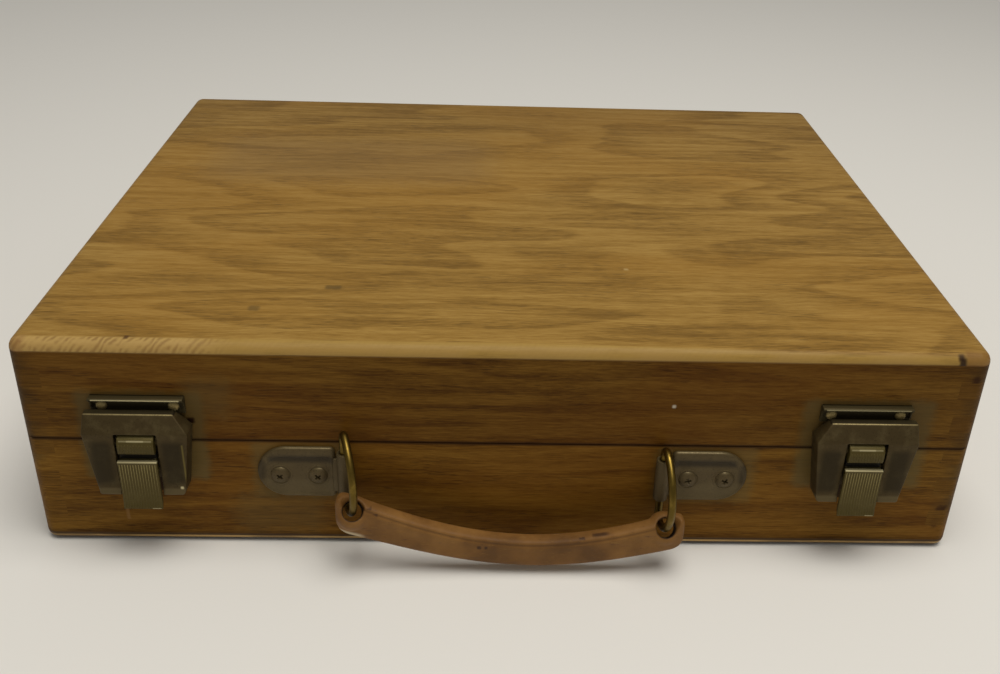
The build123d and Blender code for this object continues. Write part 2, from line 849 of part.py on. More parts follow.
# Rings: round wire bent to a D, the straight leg turning in the barrel
def ring(side, centre_z, turn):
    """The D stands out from the barrel and leans towards +X by the turn angle."""
    leg = sqrt((ring_bow - ring_corner) ** 2 - ring_corner**2)
    meet_out = ring_corner * ring_bow / (ring_bow - ring_corner)
    meet_z = leg * ring_bow / (ring_bow - ring_corner)
    share = sqrt(0.5) * ring_corner
    frame = Plane(
        origin=(side * barrel_x, front_face - barrel_out, centre_z),
        x_dir=(sin(radians(turn)), -cos(radians(turn)), 0),
        z_dir=(-cos(radians(turn)), -sin(radians(turn)), 0),
    )
    lean = atan2(leg, ring_corner)
    middle = radians(180) / 2 + lean / 2
    with BuildPart() as piece:
        with BuildLine(frame) as path:
            Line((0, -leg), (0, leg))
            ThreePointArc(
                (0, leg),
                (ring_corner + ring_corner * cos(middle), leg + ring_corner * sin(middle)),
                (meet_out, meet_z),
            )
            ThreePointArc((meet_out, meet_z), (ring_bow, 0), (meet_out, -meet_z))
            ThreePointArc(
                (meet_out, -meet_z),
                (ring_corner + ring_corner * cos(middle), -leg - ring_corner * sin(middle)),
                (0, -leg),
            )
        with BuildSketch(Plane(origin=path.line @ 0, z_dir=(0, 0, 1))):
            Circle(wire_radius)
        sweep(path=path.line)
    return piece.part


# Handle: a thick leather grip, arched down between two eyes that ride on the rings
def eye_centre(side, centre_z, turn, angle):
    reach = ring_bow * cos(radians(angle))
    return (
        side * barrel_x + reach * sin(radians(turn)),
        front_face - barrel_out - reach * cos(radians(turn)),
        centre_z - ring_bow * sin(radians(angle)),
    )


def eye_plane(centre, angle):
    """Square to the ring's wire where the eye sits on it."""
    return Plane(origin=centre, x_dir=(1, 0, 0), z_dir=(0, -sin(radians(angle)), cos(radians(angle))))


def handle():
    left = eye_centre(-1, ring_left_z, ring_left_turn, eye_left_angle)
    right = eye_centre(1, ring_right_z, ring_right_turn, eye_right_angle)
    with BuildPart() as piece:
        with BuildSketch(outward(grip_out + grip_depth)):
            with BuildLine():
                upper = Spline(*grip_upper)
                lower = Spline(*grip_lower)
                Line(upper @ 0, lower @ 0)
                Line(upper @ 1, lower @ 1)
            make_face()
        extrude(amount=-grip_depth)
        fillet(piece.edges().filter_by(GeomType.BSPLINE), grip_edge)
        for centre, angle in ((left, eye_left_angle), (right, eye_right_angle)):
            with BuildSketch(eye_plane(centre, angle).offset(-eye_depth / 2)):
                Circle(eye_outer_radius)
            extrude(amount=eye_depth)
        for centre, angle in ((left, eye_left_angle), (right, eye_right_angle)):
            with BuildSketch(eye_plane(centre, angle).offset(-11)):
                Circle(eye_radius)
            extrude(amount=22, mode=Mode.SUBTRACT)
    return piece.part


save(handle_plate(-1), "handle_plate_left")
save(handle_plate(1), "handle_plate_right")
save(handle_plate_screws(), "handle_plate_screws")
save(ring(-1, ring_left_z, ring_left_turn), "handle_ring_left")
save(ring(1, ring_right_z, ring_right_turn), "handle_ring_right")
save(handle(), "handle")


# Lid stay: a slotted arm on the lid that slides on a stud in the base
with BuildPart() as stay_arm:
    with BuildSketch(Plane.YZ.offset(stay_outer_x - stay_thickness)):
        with Locations((stay_pivot[0], stay_pivot[1] - stay_open / 2 - 0.2)):
            SlotOverall(stay_open + 0.4 + 2 * stay_half_width, 2 * stay_half_width, rotation=90)
        with Locations(stay_pivot):
            Circle(stay_bore_radius, mode=Mode.SUBTRACT)
        with Locations((stay_pivot[0], stay_pivot[1] - (stay_closed + stay_open) / 2)):
            SlotOverall(stay_open - stay_closed + 0.8 + 2 * stay_slot_half, 2 * stay_slot_half, rotation=90, mode=Mode.SUBTRACT)
    extrude(amount=stay_thickness)
save(stay_arm.part, "stay_arm")


def stay_screw(y, z):
    """A shouldered screw through the stay into the side wall."""
    with BuildPart() as piece:
        with BuildSketch(Plane.XY.offset(z)):
            with BuildLine():
                Polyline(
                    (inner_x + 6.5, y),
                    (inner_x + 6.5, y + stay_pin_radius),
                    (stay_outer_x - stay_thickness - running_gap, y + stay_pin_radius),
                    (stay_outer_x - stay_thickness - running_gap, y + 3.0),
                    (stay_outer_x - stay_thickness - running_gap - 0.8, y + 2.3),
                    (stay_outer_x - stay_thickness - running_gap - 1.2, y),
                    close=True,
                )
            make_face()
        revolve(axis=Axis((0, y, z), (1, 0, 0)))
    return piece.part


save(stay_screw(*stay_pivot), "stay_pivot_screw")
save(stay_screw(*stay_stud), "stay_stud")
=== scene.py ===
# %% [markdown]
# # An artist's paint box
# This lesson dresses an exact CAD model of a small oak paint box, and photographs it. The CAD model is the
# frame: its pieces already stand where they belong, in metres, and they are never moved. The wooden pieces
# keep their CAD shapes and get wood materials. The metal fittings and the leather handle are built again
# here, because rolled edges, ribs and soft leather are easier to make with mesh tools than in CAD.

import math

import bmesh
import bpy
import numpy as np
from mathutils import Matrix, Vector


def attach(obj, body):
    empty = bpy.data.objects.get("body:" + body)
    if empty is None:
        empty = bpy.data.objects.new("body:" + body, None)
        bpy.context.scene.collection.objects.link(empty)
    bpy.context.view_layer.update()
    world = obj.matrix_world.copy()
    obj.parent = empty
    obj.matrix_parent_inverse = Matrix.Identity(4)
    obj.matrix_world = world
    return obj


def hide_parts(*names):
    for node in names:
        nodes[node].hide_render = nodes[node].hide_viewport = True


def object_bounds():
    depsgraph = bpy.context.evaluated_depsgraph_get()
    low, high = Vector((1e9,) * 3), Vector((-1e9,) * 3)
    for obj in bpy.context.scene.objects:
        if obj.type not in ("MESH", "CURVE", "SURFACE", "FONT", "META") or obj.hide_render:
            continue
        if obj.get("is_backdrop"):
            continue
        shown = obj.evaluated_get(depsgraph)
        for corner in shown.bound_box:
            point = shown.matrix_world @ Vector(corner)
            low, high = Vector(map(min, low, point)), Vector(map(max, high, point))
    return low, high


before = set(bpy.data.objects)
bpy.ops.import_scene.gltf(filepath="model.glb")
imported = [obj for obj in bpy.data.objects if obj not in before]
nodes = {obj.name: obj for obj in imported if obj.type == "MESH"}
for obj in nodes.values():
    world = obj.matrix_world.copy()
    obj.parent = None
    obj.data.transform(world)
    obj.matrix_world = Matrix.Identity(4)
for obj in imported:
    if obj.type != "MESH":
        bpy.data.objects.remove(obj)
cad_low, cad_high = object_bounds()
scene = bpy.context.scene
mm = 0.001
front_face, parting, case_top = -124.0, 44.65, 82.5
print(len(nodes), "CAD nodes, size in mm", [round(v / mm, 1) for v in cad_high - cad_low])


def add_object(name, data):
    made = bpy.data.objects.new(name, data)
    scene.collection.objects.link(made)
    return made


def mesh_from(bm, name):
    """Turns a BMesh into a mesh, and frees it."""
    mesh = bpy.data.meshes.new(name)
    bm.to_mesh(mesh)
    bm.free()
    return mesh


# %% [markdown]
# ## Camera
# The box was photographed from a little above, with the camera tipped about 27 degrees down. Guessing such a
# view takes many tries. It is quicker to fit it: corners of the case are read in the photograph, and a
# position, tilt and focal length that put the CAD corners near them are written here. This fit is a rough
# one: at the six outer corners that show, it is 3 to 13 pixels off. The centre of the picture isn't on the
# lens axis, because the photograph is cropped, so the camera has a small shift.

# %% Camera
eye = Vector((-7.572, -417.756, 264.269)) * mm
pitch, yaw, roll = 0.469, 0.039, 0.036
focal_px, axis_px, picture_px, sensor_mm = 1057.21, (522.999, 259.485), (1000, 674), 36
gaze = Vector((math.sin(yaw) * math.cos(pitch), math.cos(yaw) * math.cos(pitch), -math.sin(pitch)))
level = gaze.cross(Vector((0, 0, 1))).normalized()
rise = level.cross(gaze)
right_of_picture = level * math.cos(roll) + rise * math.sin(roll)
top_of_picture = rise * math.cos(roll) - level * math.sin(roll)
camera = add_object("camera", bpy.data.cameras.new("camera"))
turn = Matrix((right_of_picture, top_of_picture, -gaze)).transposed()
camera.matrix_world = Matrix.Translation(eye) @ turn.to_4x4()
camera.data.sensor_width = sensor_mm
camera.data.lens = sensor_mm * focal_px / picture_px[0]
camera.data.shift_x = (picture_px[0] / 2 - axis_px[0]) / picture_px[0]
camera.data.shift_y = (axis_px[1] - picture_px[1] / 2) / picture_px[0]
camera.data.clip_start, camera.data.clip_end = 0.01, 50
scene.camera = camera
print("camera lens", round(camera.data.lens, 2), "mm")

# %% [markdown]
# ## Node trees in a few words
# A material is a graph of small nodes. Writing each node and each link on its own line hides the idea, so
# these helpers add a node, set its values and link its inputs in one call. What comes out of a node is a
# `Value`, and `a * b + c` adds the two math nodes for it. `step` and `lay` are the two used most: a soft step
# makes a mask out of a measure, and `lay` puts tints over a colour through such masks.

# %% Helpers for node trees
def srgb(red, green, blue, share=1.0):
    """A colour from screen values 0 to 255, as the linear values that nodes want, times share."""
    screen = [c / 255 for c in (red, green, blue)]
    return tuple(share * (c / 12.92 if c <= 0.04 else ((c + 0.055) / 1.055) ** 2.4) for c in screen) + (1.0,)


def sign(operation, swapped=False):
    """What a Python sign does between two values: it adds a math node."""
    def apply(value, other=0.0):
        return value.graph.math(operation, *((other, value) if swapped else (value, other)))
    return apply


class Value:
    """An output of a node."""

    __add__, __sub__, __rsub__ = sign("ADD"), sign("SUBTRACT"), sign("SUBTRACT", swapped=True)
    __mul__, __truediv__, __abs__ = sign("MULTIPLY"), sign("DIVIDE"), sign("ABSOLUTE")

    def __init__(self, graph, socket):
        self.graph, self.socket = graph, socket

    def step(self, low, high, to_low=0.0, to_high=1.0):
        """A soft step: to_low where the value is low, to_high where it is high. Low may be the larger one."""
        values = {"Value": self, "From Min": low, "From Max": high, "To Min": to_low, "To Max": to_high}
        return self.graph.out("ShaderNodeMapRange", values, "Result", interpolation_type="SMOOTHSTEP")


class Graph:
    """Adds nodes to a tree: an input that is a Value is linked, any other is set."""

    def __init__(self, tree):
        self.tree = tree

    def fill(self, socket, value):
        if isinstance(value, Value):
            self.tree.links.new(value.socket, socket)
        else:
            socket.default_value = value

    def node(self, kind, inputs=None, **settings):
        made = self.tree.nodes.new(kind)
        for name, value in settings.items():
            setattr(made, name, value)
        for name, value in (inputs or {}).items():
            self.fill(made.inputs[name], value)
        return made

    def out(self, kind, inputs=None, output=0, **settings):
        """Adds a node and returns one of its outputs."""
        return Value(self, self.node(kind, inputs, **settings).outputs[output])

    def math(self, operation, first, second=0.0, clamp=False):
        return self.out("ShaderNodeMath", {0: first, 1: second}, operation=operation, use_clamp=clamp)

    def vector(self, operation, first, second=(0, 0, 0)):
        return self.out("ShaderNodeVectorMath", {0: first, 1: second}, "Vector", operation=operation)

    def combine(self, x, y=0.0, z=0.0):
        return self.out("ShaderNodeCombineXYZ", {0: x, 1: y, 2: z})

    def axes(self, vector):
        return [Value(self, socket) for socket in self.node("ShaderNodeSeparateXYZ", {0: vector}).outputs]

    def attribute(self, name):
        return self.out("ShaderNodeAttribute", output="Fac", attribute_name=name)

    def mix(self, share, first, second):
        """Mixes two colours, which this node takes at its inputs 6 and 7 and gives at its output 2."""
        return self.out("ShaderNodeMix", {0: share, 6: first, 7: second}, 2, data_type="RGBA")

    def lay(self, colour, *layers):
        """Lays tints over a colour, one after the other. A layer is (share, tint on the screen or Value)."""
        for share, tint in layers:
            colour = self.mix(share, colour, tint if isinstance(tint, Value) else srgb(*tint))
        return colour

    def noise(self, where, scale=1.0, detail=2.0, roughness=0.5):
        """Noise from 0 to 1. A scale of three numbers stretches it along an axis."""
        if isinstance(scale, tuple):
            where, scale = self.vector("MULTIPLY", where, scale), 1.0
        values = {"Vector": where, "Scale": scale, "Detail": detail, "Roughness": roughness}
        return self.out("ShaderNodeTexNoise", values, "Fac")

    def ramp(self, value, *stops):
        """Colours by value. A stop is (value, tint on the screen)."""
        made = self.node("ShaderNodeValToRGB", {"Fac": value})
        points = made.color_ramp.elements
        while len(points) < len(stops):
            points.new(0.5)
        for point, (position, tint) in zip(points, stops):
            point.position = position
            point.color = srgb(*tint)
        return Value(self, made.outputs["Color"])

    def group(self, tree, **inputs):
        """Uses a node group, and returns its outputs by name."""
        values = {name.replace("_", " "): value for name, value in inputs.items()}
        made = self.node("ShaderNodeGroup", values, node_tree=tree)
        return {socket.name: Value(self, socket) for socket in made.outputs}

    def give(self, **results):
        """Links what a node group gives out."""
        self.node("NodeGroupOutput", results)


def new_group(kind, name, inputs, outputs):
    """A node group's graph and its inputs as values; inputs and outputs are {name: kind of socket}."""
    tree = bpy.data.node_groups.new(name, kind)
    for in_out, sockets in (("INPUT", inputs), ("OUTPUT", outputs)):
        for label, socket_kind in sockets.items():
            tree.interface.new_socket(name=label, in_out=in_out, socket_type=f"NodeSocket{socket_kind}")
    graph = Graph(tree)
    return graph, {s.name: Value(graph, s) for s in graph.node("NodeGroupInput").outputs if s.name}


class Paint(Graph):
    """A Principled material's graph. Its place is the point in millimetres."""

    def __init__(self, name):
        self.material = bpy.data.materials.new(name)
        self.material.use_nodes = True
        super().__init__(self.material.node_tree)
        metres = self.out("ShaderNodeTexCoord", output="Object")
        self.place = self.out("ShaderNodeVectorMath", {0: metres, "Scale": 1 / mm}, "Vector", operation="SCALE")

    def show(self, **values):
        """Links or sets inputs of the shader."""
        for name, value in values.items():
            self.fill(self.tree.nodes["Principled BSDF"].inputs[name.replace("_", " ")], value)

    def finish(self, colour, roughness, height, bump, bump_mm, specular, metallic=0.0):
        relief = {"Height": height, "Strength": bump, "Distance": bump_mm * mm}
        self.show(Base_Color=colour, Roughness=roughness, Normal=self.out("ShaderNodeBump", relief, "Normal"))
        self.show(Specular_IOR_Level=specular, Metallic=metallic)
        return self.material


print("helpers ready")

# %% [markdown]
# ## Oak figure
# Oak shows three things at once. Broad soft bands come from the growth rings, which on plywood that is peeled
# off a log look like the contour lines of a flat hill. Fine streaks follow the fibres, a millimetre or less
# apart. Pores are short dark dashes, cut open where the surface passes through the vessels. All three are
# noise that is stretched along the grain. They share one group, so every board uses it with its own seed.

# %% Oak figure group
g, given = new_group(
    "ShaderNodeTree",
    "oak_figure",
    {"Vector": "Vector", "Seed": "Float", "Rings": "Float", "Ring length": "Float", "Ring width": "Float"},
    {"Rings": "Float", "Streaks": "Float", "Pores": "Float", "Tone": "Float"},
)
oak_figure = g.tree
seed, width = given["Seed"], given["Ring width"]
place = g.vector("ADD", given["Vector"], g.combine(seed * 137.0, seed * 53.0, seed))
sway = g.noise(place, (0.012, 0.03, 0.03), detail=1.0)
x, y, z = g.axes(place)
swayed_y, swayed_z = y + sway * 7.0, z + sway * 3.0
hill_place = g.combine(x / given["Ring length"], swayed_y / width, swayed_z / width)
hill = g.noise(hill_place, detail=1.5, roughness=0.4)
rings = g.math("FRACT", hill * given["Rings"])
rings = rings.step(0.0, 0.75) * rings.step(1.0, 0.86)
fibre = g.combine(x, swayed_y, swayed_z)
fine = g.noise(fibre, (0.13, 2.0, 2.0), detail=3.0, roughness=0.72)
coarse = g.noise(fibre, (0.016, 0.33, 0.33))
dashes = g.noise(fibre, (0.14, 2.3, 2.3), detail=1.0)
pores = dashes.step(0.57, 0.70) * rings.step(1.0, 0.2, 0.25, 1.0)
tone = g.noise(place, (0.008, 0.017, 0.02))
g.give(Rings=rings, Streaks=fine * 0.6 + coarse * 0.4, Pores=pores, Tone=tone)
print("group", oak_figure.name)

# %% [markdown]
# ## Marks
# Marks make an old thing look used: a halo of dull polish round each fitting, a burn, a nail hole, specks of
# paint. Some marks paint shade or a highlight instead. Each is a soft box or a soft spot at a place on the
# case. One group gives the distance to a rounded box and turns it into a mask, so a spot is the same group
# with a small size.

# %% Mark group
g, given = new_group(
    "ShaderNodeTree",
    "mark",
    {"Vector": "Vector", "Centre": "Vector", "Half size": "Vector", "Fade": "Float", "Ragged": "Float"},
    {"Mask": "Float"},
)
mark = g.tree
away = g.vector("ABSOLUTE", g.vector("SUBTRACT", given["Vector"], given["Centre"]))
away = g.vector("MAXIMUM", g.vector("SUBTRACT", away, given["Half size"]))
distance = g.out("ShaderNodeVectorMath", {0: away}, "Value", operation="LENGTH")
ragged = (g.noise(given["Vector"], 0.35, detail=4.0, roughness=0.6) - 0.5) * given["Ragged"]
edge = g.math("SUBTRACT", 1.0, (distance + ragged) / given["Fade"], clamp=True)
g.give(Mask=edge.step(0.0, 1.0))


def add_marks(paint, colour, marks):
    """Lays marks over a colour. A mark is (tint, centre, half size, fade, ragged, strength)."""
    for tint, centre, half, fade, ragged, strength in marks:
        inputs = {"Vector": paint.place, "Centre": centre, "Half_size": half, "Fade": fade, "Ragged": ragged}
        colour = paint.lay(colour, (paint.group(mark, **inputs)["Mask"] * strength, tint))
    return colour


print("group", mark.name)

# %% [markdown]
# ## Oak for the case
# The walls are solid oak under old varnish. Front and back have their grain along X, the two sides along Y,
# so the sides' material turns the coordinates by 90 degrees first and shows end grain where their fingers
# come through. The wood is lighter and dull inside, where it was never varnished. Colour comes from the rings
# and streaks, and the pores darken it and sink into the bump.

# %% Case oak
def along_grain(paint, along_y):
    """The place, turned for a board whose grain runs along Y."""
    spin = (0, 0, math.radians(90 if along_y else 0))
    return paint.out("ShaderNodeMapping", {"Vector": paint.place, "Rotation": spin})


def oak_colour(paint, place, seed, tints, figure, pore_depth):
    """Oak as a colour, a roughness and a height. The figure is the rings' (number, length, width)."""
    dark, middle, light, warm = tints
    number, length, width = figure
    oak = paint.group(oak_figure, Vector=place, Seed=seed, Rings=number, Ring_length=length, Ring_width=width)
    level_of = oak["Streaks"] * 0.9 + oak["Rings"] * 0.10
    colour = paint.ramp(level_of, (0.37, dark), (0.51, middle), (0.65, light))
    colour = paint.lay(colour, (oak["Tone"].step(0.42, 0.68, 0.0, 0.35), warm))
    colour = paint.mix(oak["Pores"] * pore_depth, colour, srgb(*dark, share=0.3))
    return colour, oak["Streaks"].step(0.35, 0.65, 0.56, 0.44), oak["Streaks"] * 0.4 - oak["Pores"]


def finish_wood(paint, colour, roughness, height, specular=0.18):
    return paint.finish(colour, roughness, height, 0.25, 0.12, specular)


def between_walls(x, y):
    """1 inside the box, from its walls' inner faces inwards."""
    return abs(x).step(152.9, 152.6) * abs(y).step(114.9, 114.6)


def dress(material, *names):
    """Gives CAD pieces one material."""
    for name in names:
        nodes[name].data.materials.clear()
        nodes[name].data.materials.append(material)


varnished = ((80, 51, 10), (109, 75, 20), (132, 95, 32), (110, 66, 12))
unvarnished = ((140, 108, 68), (165, 132, 88), (186, 154, 108), (160, 122, 74))
wall_figure = (5.0, 190.0, 17.0)
grime, painted_shade, joint = (102, 86, 48), (26, 16, 7), (48, 26, 9)
wall_marks = [
    ("polish left of the strike", grime, (-122, -124, 46), (18.8, 2, 15.8), 4.0, 3.2, 0.8),
    ("polish round the right catch", grime, (123.5, -124, 46), (20.0, 2, 16.0), 4.5, 3.6, 0.8),
    ("polish beside the left catch", grime, (-99, -124, 62), (3, 2, 3), 9.0, 8.0, 0.4),
    ("polish round the left plate", grime, (-70, -124, 32.4), (14.0, 2, 9.5), 4.5, 4.0, 0.55),
    ("polish round the right plate", grime, (70, -124, 32.4), (15.0, 2, 9.5), 4.5, 4.0, 0.55),
    ("dull patch below the left plate", grime, (-78, -124, 14), (10, 2, 4), 10.0, 9.0, 0.35),
    # painted shade: the wall seen through each catch's window, behind the draw plate, is darkened
    ("dirt behind the left catch", painted_shade, (-122, -124, 26.4), (8.5, 2, 3.0), 0.8, 0.4, 0.85),
    ("dirt behind the right catch", painted_shade, (122, -124, 26.4), (8.5, 2, 3.0), 0.8, 0.4, 0.85),
    ("nail hole", (18, 9, 4), (-105.4, -124, 52.6), (0.5, 1, 0.5), 1.3, 0.6, 1.0),
    ("paint speck", (215, 205, 180), (56.6, -124, 60.8), (0.2, 1, 0.2), 0.8, 0.3, 0.9),
    ("paint speck", (200, 180, 150), (47.0, -124, 8.6), (0.2, 1, 0.2), 0.9, 0.3, 0.8),
    ("chip", (140, 104, 60), (-131.5, -124, 13.5), (0.1, 1, 3.0), 0.9, 0.6, 0.6),
    # painted shade: the front is greyed and darkened near both outer corners, where it turns away from the
    # light
    ("painted shade on the left corner", (62, 50, 28), (-161.5, -124, 62), (0.5, 3, 22), 9.0, 7.0, 0.6),
    ("painted shade on the right corner", (70, 56, 30), (160.5, -124, 50), (0.5, 3, 30), 9.0, 8.0, 0.5),
    ("dark joint", joint, (157.2, -122, 72.0), (0.3, 3, 1.3), 2.0, 2.6, 0.8),
    ("dark joint", joint, (157.0, -122, 18.0), (0.6, 3, 0.5), 2.0, 2.6, 0.75),
    ("dark joint", joint, (155.6, -122, 11.6), (0.3, 3, 0.8), 1.8, 2.4, 0.65),
]


def make_case_oak(name, seed, along_y):
    paint = Paint(name)
    grain = along_grain(paint, along_y)
    colour, roughness, height = oak_colour(paint, grain, seed, varnished, wall_figure, 0.5)
    inside, _, _ = oak_colour(paint, grain, seed + 3, unvarnished, wall_figure, 0.3)
    marks = [values for _, *values in wall_marks if not along_y or abs(values[1][0]) > 150]
    colour = add_marks(paint, colour, marks)
    x, y, z = paint.axes(paint.place)
    if along_y:
        fibres = paint.noise(paint.place, (0.08, 1.0, 1.9), detail=3.0, roughness=0.7)
        end_grain = paint.ramp(fibres, (0.35, (84, 55, 12)), (0.65, (118, 83, 26)))
        colour = paint.lay(colour, (abs(y).step(122.6, 123.6, 0.0, 0.85), end_grain))
    outer = paint.math("MAXIMUM", abs(x).step(161.3, 161.8), abs(y).step(123.3, 123.8))
    seam = outer * abs(z - parting).step(1.1, 0.2, 0.0, 0.75)
    foot = z.step(6.0, 4.0, 0.0, 0.35)
    front = y.step(-121.5, -123.5) * z.step(42.0, 46.5, 0.06, 0.3)
    inner = between_walls(x, y)
    colour = paint.lay(colour, (seam, (30, 17, 7)), (foot, (40, 24, 10)), (front, (50, 20, 0)), (inner, inside))
    return finish_wood(paint, colour, roughness + inner * 0.25, height, 0.07)


case_oak_x = make_case_oak("case_oak_x", 1.0, False)
case_oak_y = make_case_oak("case_oak_y", 2.0, True)
for half in ("base", "lid"):
    dress(case_oak_x, f"{half}_front_wall", f"{half}_back_wall")
    dress(case_oak_y, f"{half}_left_wall", f"{half}_right_wall")
print("wall marks:", len(wall_marks))

# %% [markdown]
# ## Plywood top and bottom
# The two panels are faced with oak veneer, and its figure is larger and softer than the walls'. Years of
# handling have taken the varnish off the rounded front edge, and a cutter left slanting chatter marks there
# about 2.3 mm apart. The band is painted by position: near the front edge, and in the height of the rounding.

# %% Plywood panels
veneer = ((115, 84, 30), (144, 109, 46), (164, 129, 63), (151, 108, 35))
bare_veneer = ((150, 118, 76), (176, 144, 98), (196, 166, 120), (168, 132, 84))
chatter_pitch = 2.3
paint = Paint("veneer_oak")
colour, roughness, height = oak_colour(paint, paint.place, 4.0, veneer, (7.0, 150.0, 36.0), 0.45)
inside, _, _ = oak_colour(paint, paint.place, 9.0, bare_veneer, (6.0, 170.0, 42.0), 0.25)
x, y, z = paint.axes(paint.place)
front_edge = (y + x.step(0.0, 130.0, 0.0, 2.4)).step(-119.6, -120.9) * z.step(78.7, 79.0)
patchy = paint.noise(paint.place, (0.05, 0.2, 0.2), detail=3.0)
down = (case_top - z) - (y - front_face)
unsteady = paint.noise(paint.place, (0.22, 0.12, 0.12)) * 11.0
phase = (x + down * 0.5) * (2 * math.pi / chatter_pitch) + unsteady
uneven = paint.noise(paint.place, (0.16, 0.3, 0.3)).step(0.62, 0.40, 0.1, 1.0)
chatter = (paint.math("SINE", phase) + 1.0) * 0.5 * uneven * front_edge * x.step(-88.0, -106.0, 0.12, 1.0)
rim = paint.math("MAXIMUM", abs(x).step(159.5, 161.5), abs(y).step(121.5, 123.6))
inner = between_walls(x, y) * (z.step(3.8, 3.95) * z.step(78.8, 78.6))
colour = paint.lay(
    colour,
    (y.step(30.0, 124.0, 0.0, 0.2), (62, 44, 18)),
    (front_edge * patchy.step(0.2, 0.6, 0.45, 0.85), (166, 134, 68)),
    (front_edge * x.step(-88.0, -106.0, 0.0, 0.4), (200, 166, 104)),
    (chatter * 0.6, (116, 82, 38)),
    (rim * patchy.step(0.35, 0.6, 0.0, 0.35), (156, 122, 70)),
    (z.step(79.2, 78.6, 0.0, 0.55), (70, 44, 16)),
    (z.step(4.6, 3.8, 0.0, 0.75), (46, 27, 9)),
    (abs(z - 2.4).step(0.8, 0.4) * patchy.step(0.35, 0.55, 0.5, 1.0), (182, 148, 92)),
    (inner, inside),
)
colour = add_marks(paint, colour, (
    ((112, 72, 30), (157.0, -122.8, 80.3), (3.5, 1.2, 1.4), 2.4, 1.5, 0.55),
    ((136, 96, 54), (-159.0, -122.5, 80.5), (1.5, 1.5, 1.5), 2.2, 1.5, 0.45),
    ((54, 33, 16), (150.7, -122.9, 81.1), (0.4, 0.5, 0.4), 1.3, 0.7, 0.9),
    ((42, 25, 11), (151.3, -123.6, 79.8), (0.5, 0.4, 0.8), 1.4, 0.8, 0.95),
    ((70, 40, 16), (-124.0, -120.2, 82.4), (0.3, 0.5, 0.3), 0.9, 0.4, 0.8),
    ((78, 62, 30), (-62.0, -84.0, 82.5), (2.0, 0.6, 1.0), 1.6, 1.2, 0.6),
    ((78, 62, 30), (-87.0, -100.0, 82.5), (1.0, 0.8, 1.0), 1.8, 1.2, 0.55),
    ((178, 150, 96), (45.0, -66.0, 82.5), (0.4, 0.3, 1.0), 0.9, 0.4, 0.7),
    ((120, 96, 60), (-70.0, 40.0, 82.5), (50.0, 14.0, 1.0), 26.0, 16.0, 0.35),
))
dress(finish_wood(paint, colour, roughness, height - chatter * 0.8), "lid_top_panel", "base_bottom_panel")
print("panels dressed in", paint.material.name)

# %% [markdown]
# ## Floor and light
# A plain pale floor reaches far behind the box, and a large soft lamp stands high above it and a little in
# front. The lid faces the lamp squarely and the front only at a grazing angle, so the front is darker than
# the lid, as in the photograph. The world's even light fills the shadows, and the floor throws some light up
# at the handle.

# %% Floor and light
bm = bmesh.new()
bmesh.ops.create_grid(bm, x_segments=1, y_segments=1, size=6.0)
floor = add_object("floor", mesh_from(bm, "floor"))
floor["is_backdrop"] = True
paint = Paint("pale_floor")
paint.show(Base_Color=(0.83, 0.81, 0.75, 1), Roughness=0.9)
floor.data.materials.append(paint.material)

world = bpy.data.worlds.new("world")
scene.world = world
world.use_nodes = True
world.node_tree.nodes["Background"].inputs["Color"].default_value = (1.0, 0.98, 0.95, 1)
world.node_tree.nodes["Background"].inputs["Strength"].default_value = 0.26

lamp_place, lamp_target = Vector((0.15, -0.3, 1.25)), Vector((0, 0, 0.05))
lamp = add_object("lamp_above", bpy.data.lights.new("lamp_above", "AREA"))
lamp.data.shape, lamp.data.size, lamp.data.energy, lamp.data.color = "DISK", 0.9, 11.6, (1.0, 0.97, 0.93)
lamp.location = lamp_place
lamp.rotation_euler = (lamp_target - lamp_place).to_track_quat("-Z", "Y").to_euler()
scene.view_settings.view_transform = "Standard"

# %% [markdown]
# ## Making metal shapes
# Pressed brass has no sharp edges, so every fitting here starts as an outline, becomes a block and has its
# edges rounded. Places are written as (x, out, z) in millimetres, where `out` is the distance in front of the
# case. A `Piece` collects such blocks, welds them, works out how sharp and how proud each point is and how far
# it faces up, and stores that as an attribute of each point. The brass material reads it: old brass wears
# bright on its edges, and the edges that face up get a painted highlight on top of that.

# %% Helpers for meshes
same_point = 1e-6


def at(x, out, z):
    return Vector((x, front_face - out, z)) * mm


def turns(count):
    """The angles of a full turn in equal steps."""
    return [2 * math.pi * i / count for i in range(count)]


def circle(centre, across, other, radius, sides):
    return [centre + (across * math.cos(a) + other * math.sin(a)) * radius * mm for a in turns(sides)]


def round_edges(bm, width, sharper_than=0.45):
    """Rounds every edge that turns by more than the given angle."""
    edges = [e for e in bm.edges if len(e.link_faces) == 2 and e.calc_face_angle(0) > sharper_than]
    shape = {"offset_type": "OFFSET", "segments": 3, "profile": 0.5, "affect": "EDGES", "clamp_overlap": True}
    bmesh.ops.bevel(bm, geom=edges, offset=width * mm, **shape)


def prism(outline, along, low, high, bevel):
    """A block with this outline. Along "x" the outline is (out, z), along "out" (x, z), along "z" (x, out)."""
    places = {"x": lambda a, b, t: at(t, a, b), "out": lambda a, b, t: at(a, t, b), "z": at}
    bm = bmesh.new()
    ends = [[bm.verts.new(places[along](a, b, t)) for a, b in outline] for t in (low, high)]
    bm.faces.new(ends[0])
    bm.faces.new(ends[1][::-1])
    for i in range(len(outline)):
        k = (i + 1) % len(outline)
        bm.faces.new((ends[0][k], ends[0][i], ends[1][i], ends[1][k]))
    bmesh.ops.recalc_face_normals(bm, faces=bm.faces)
    round_edges(bm, bevel)
    return bm


def strip(side_view, middle, half, bevel):
    """A block seen from the side as (out, z) points, this wide to both sides of its middle."""
    return prism(side_view, "x", middle - half, middle + half, bevel)


def rectangle(middle, half, low, high):
    return [(middle - half, low), (middle + half, low), (middle + half, high), (middle - half, high)]


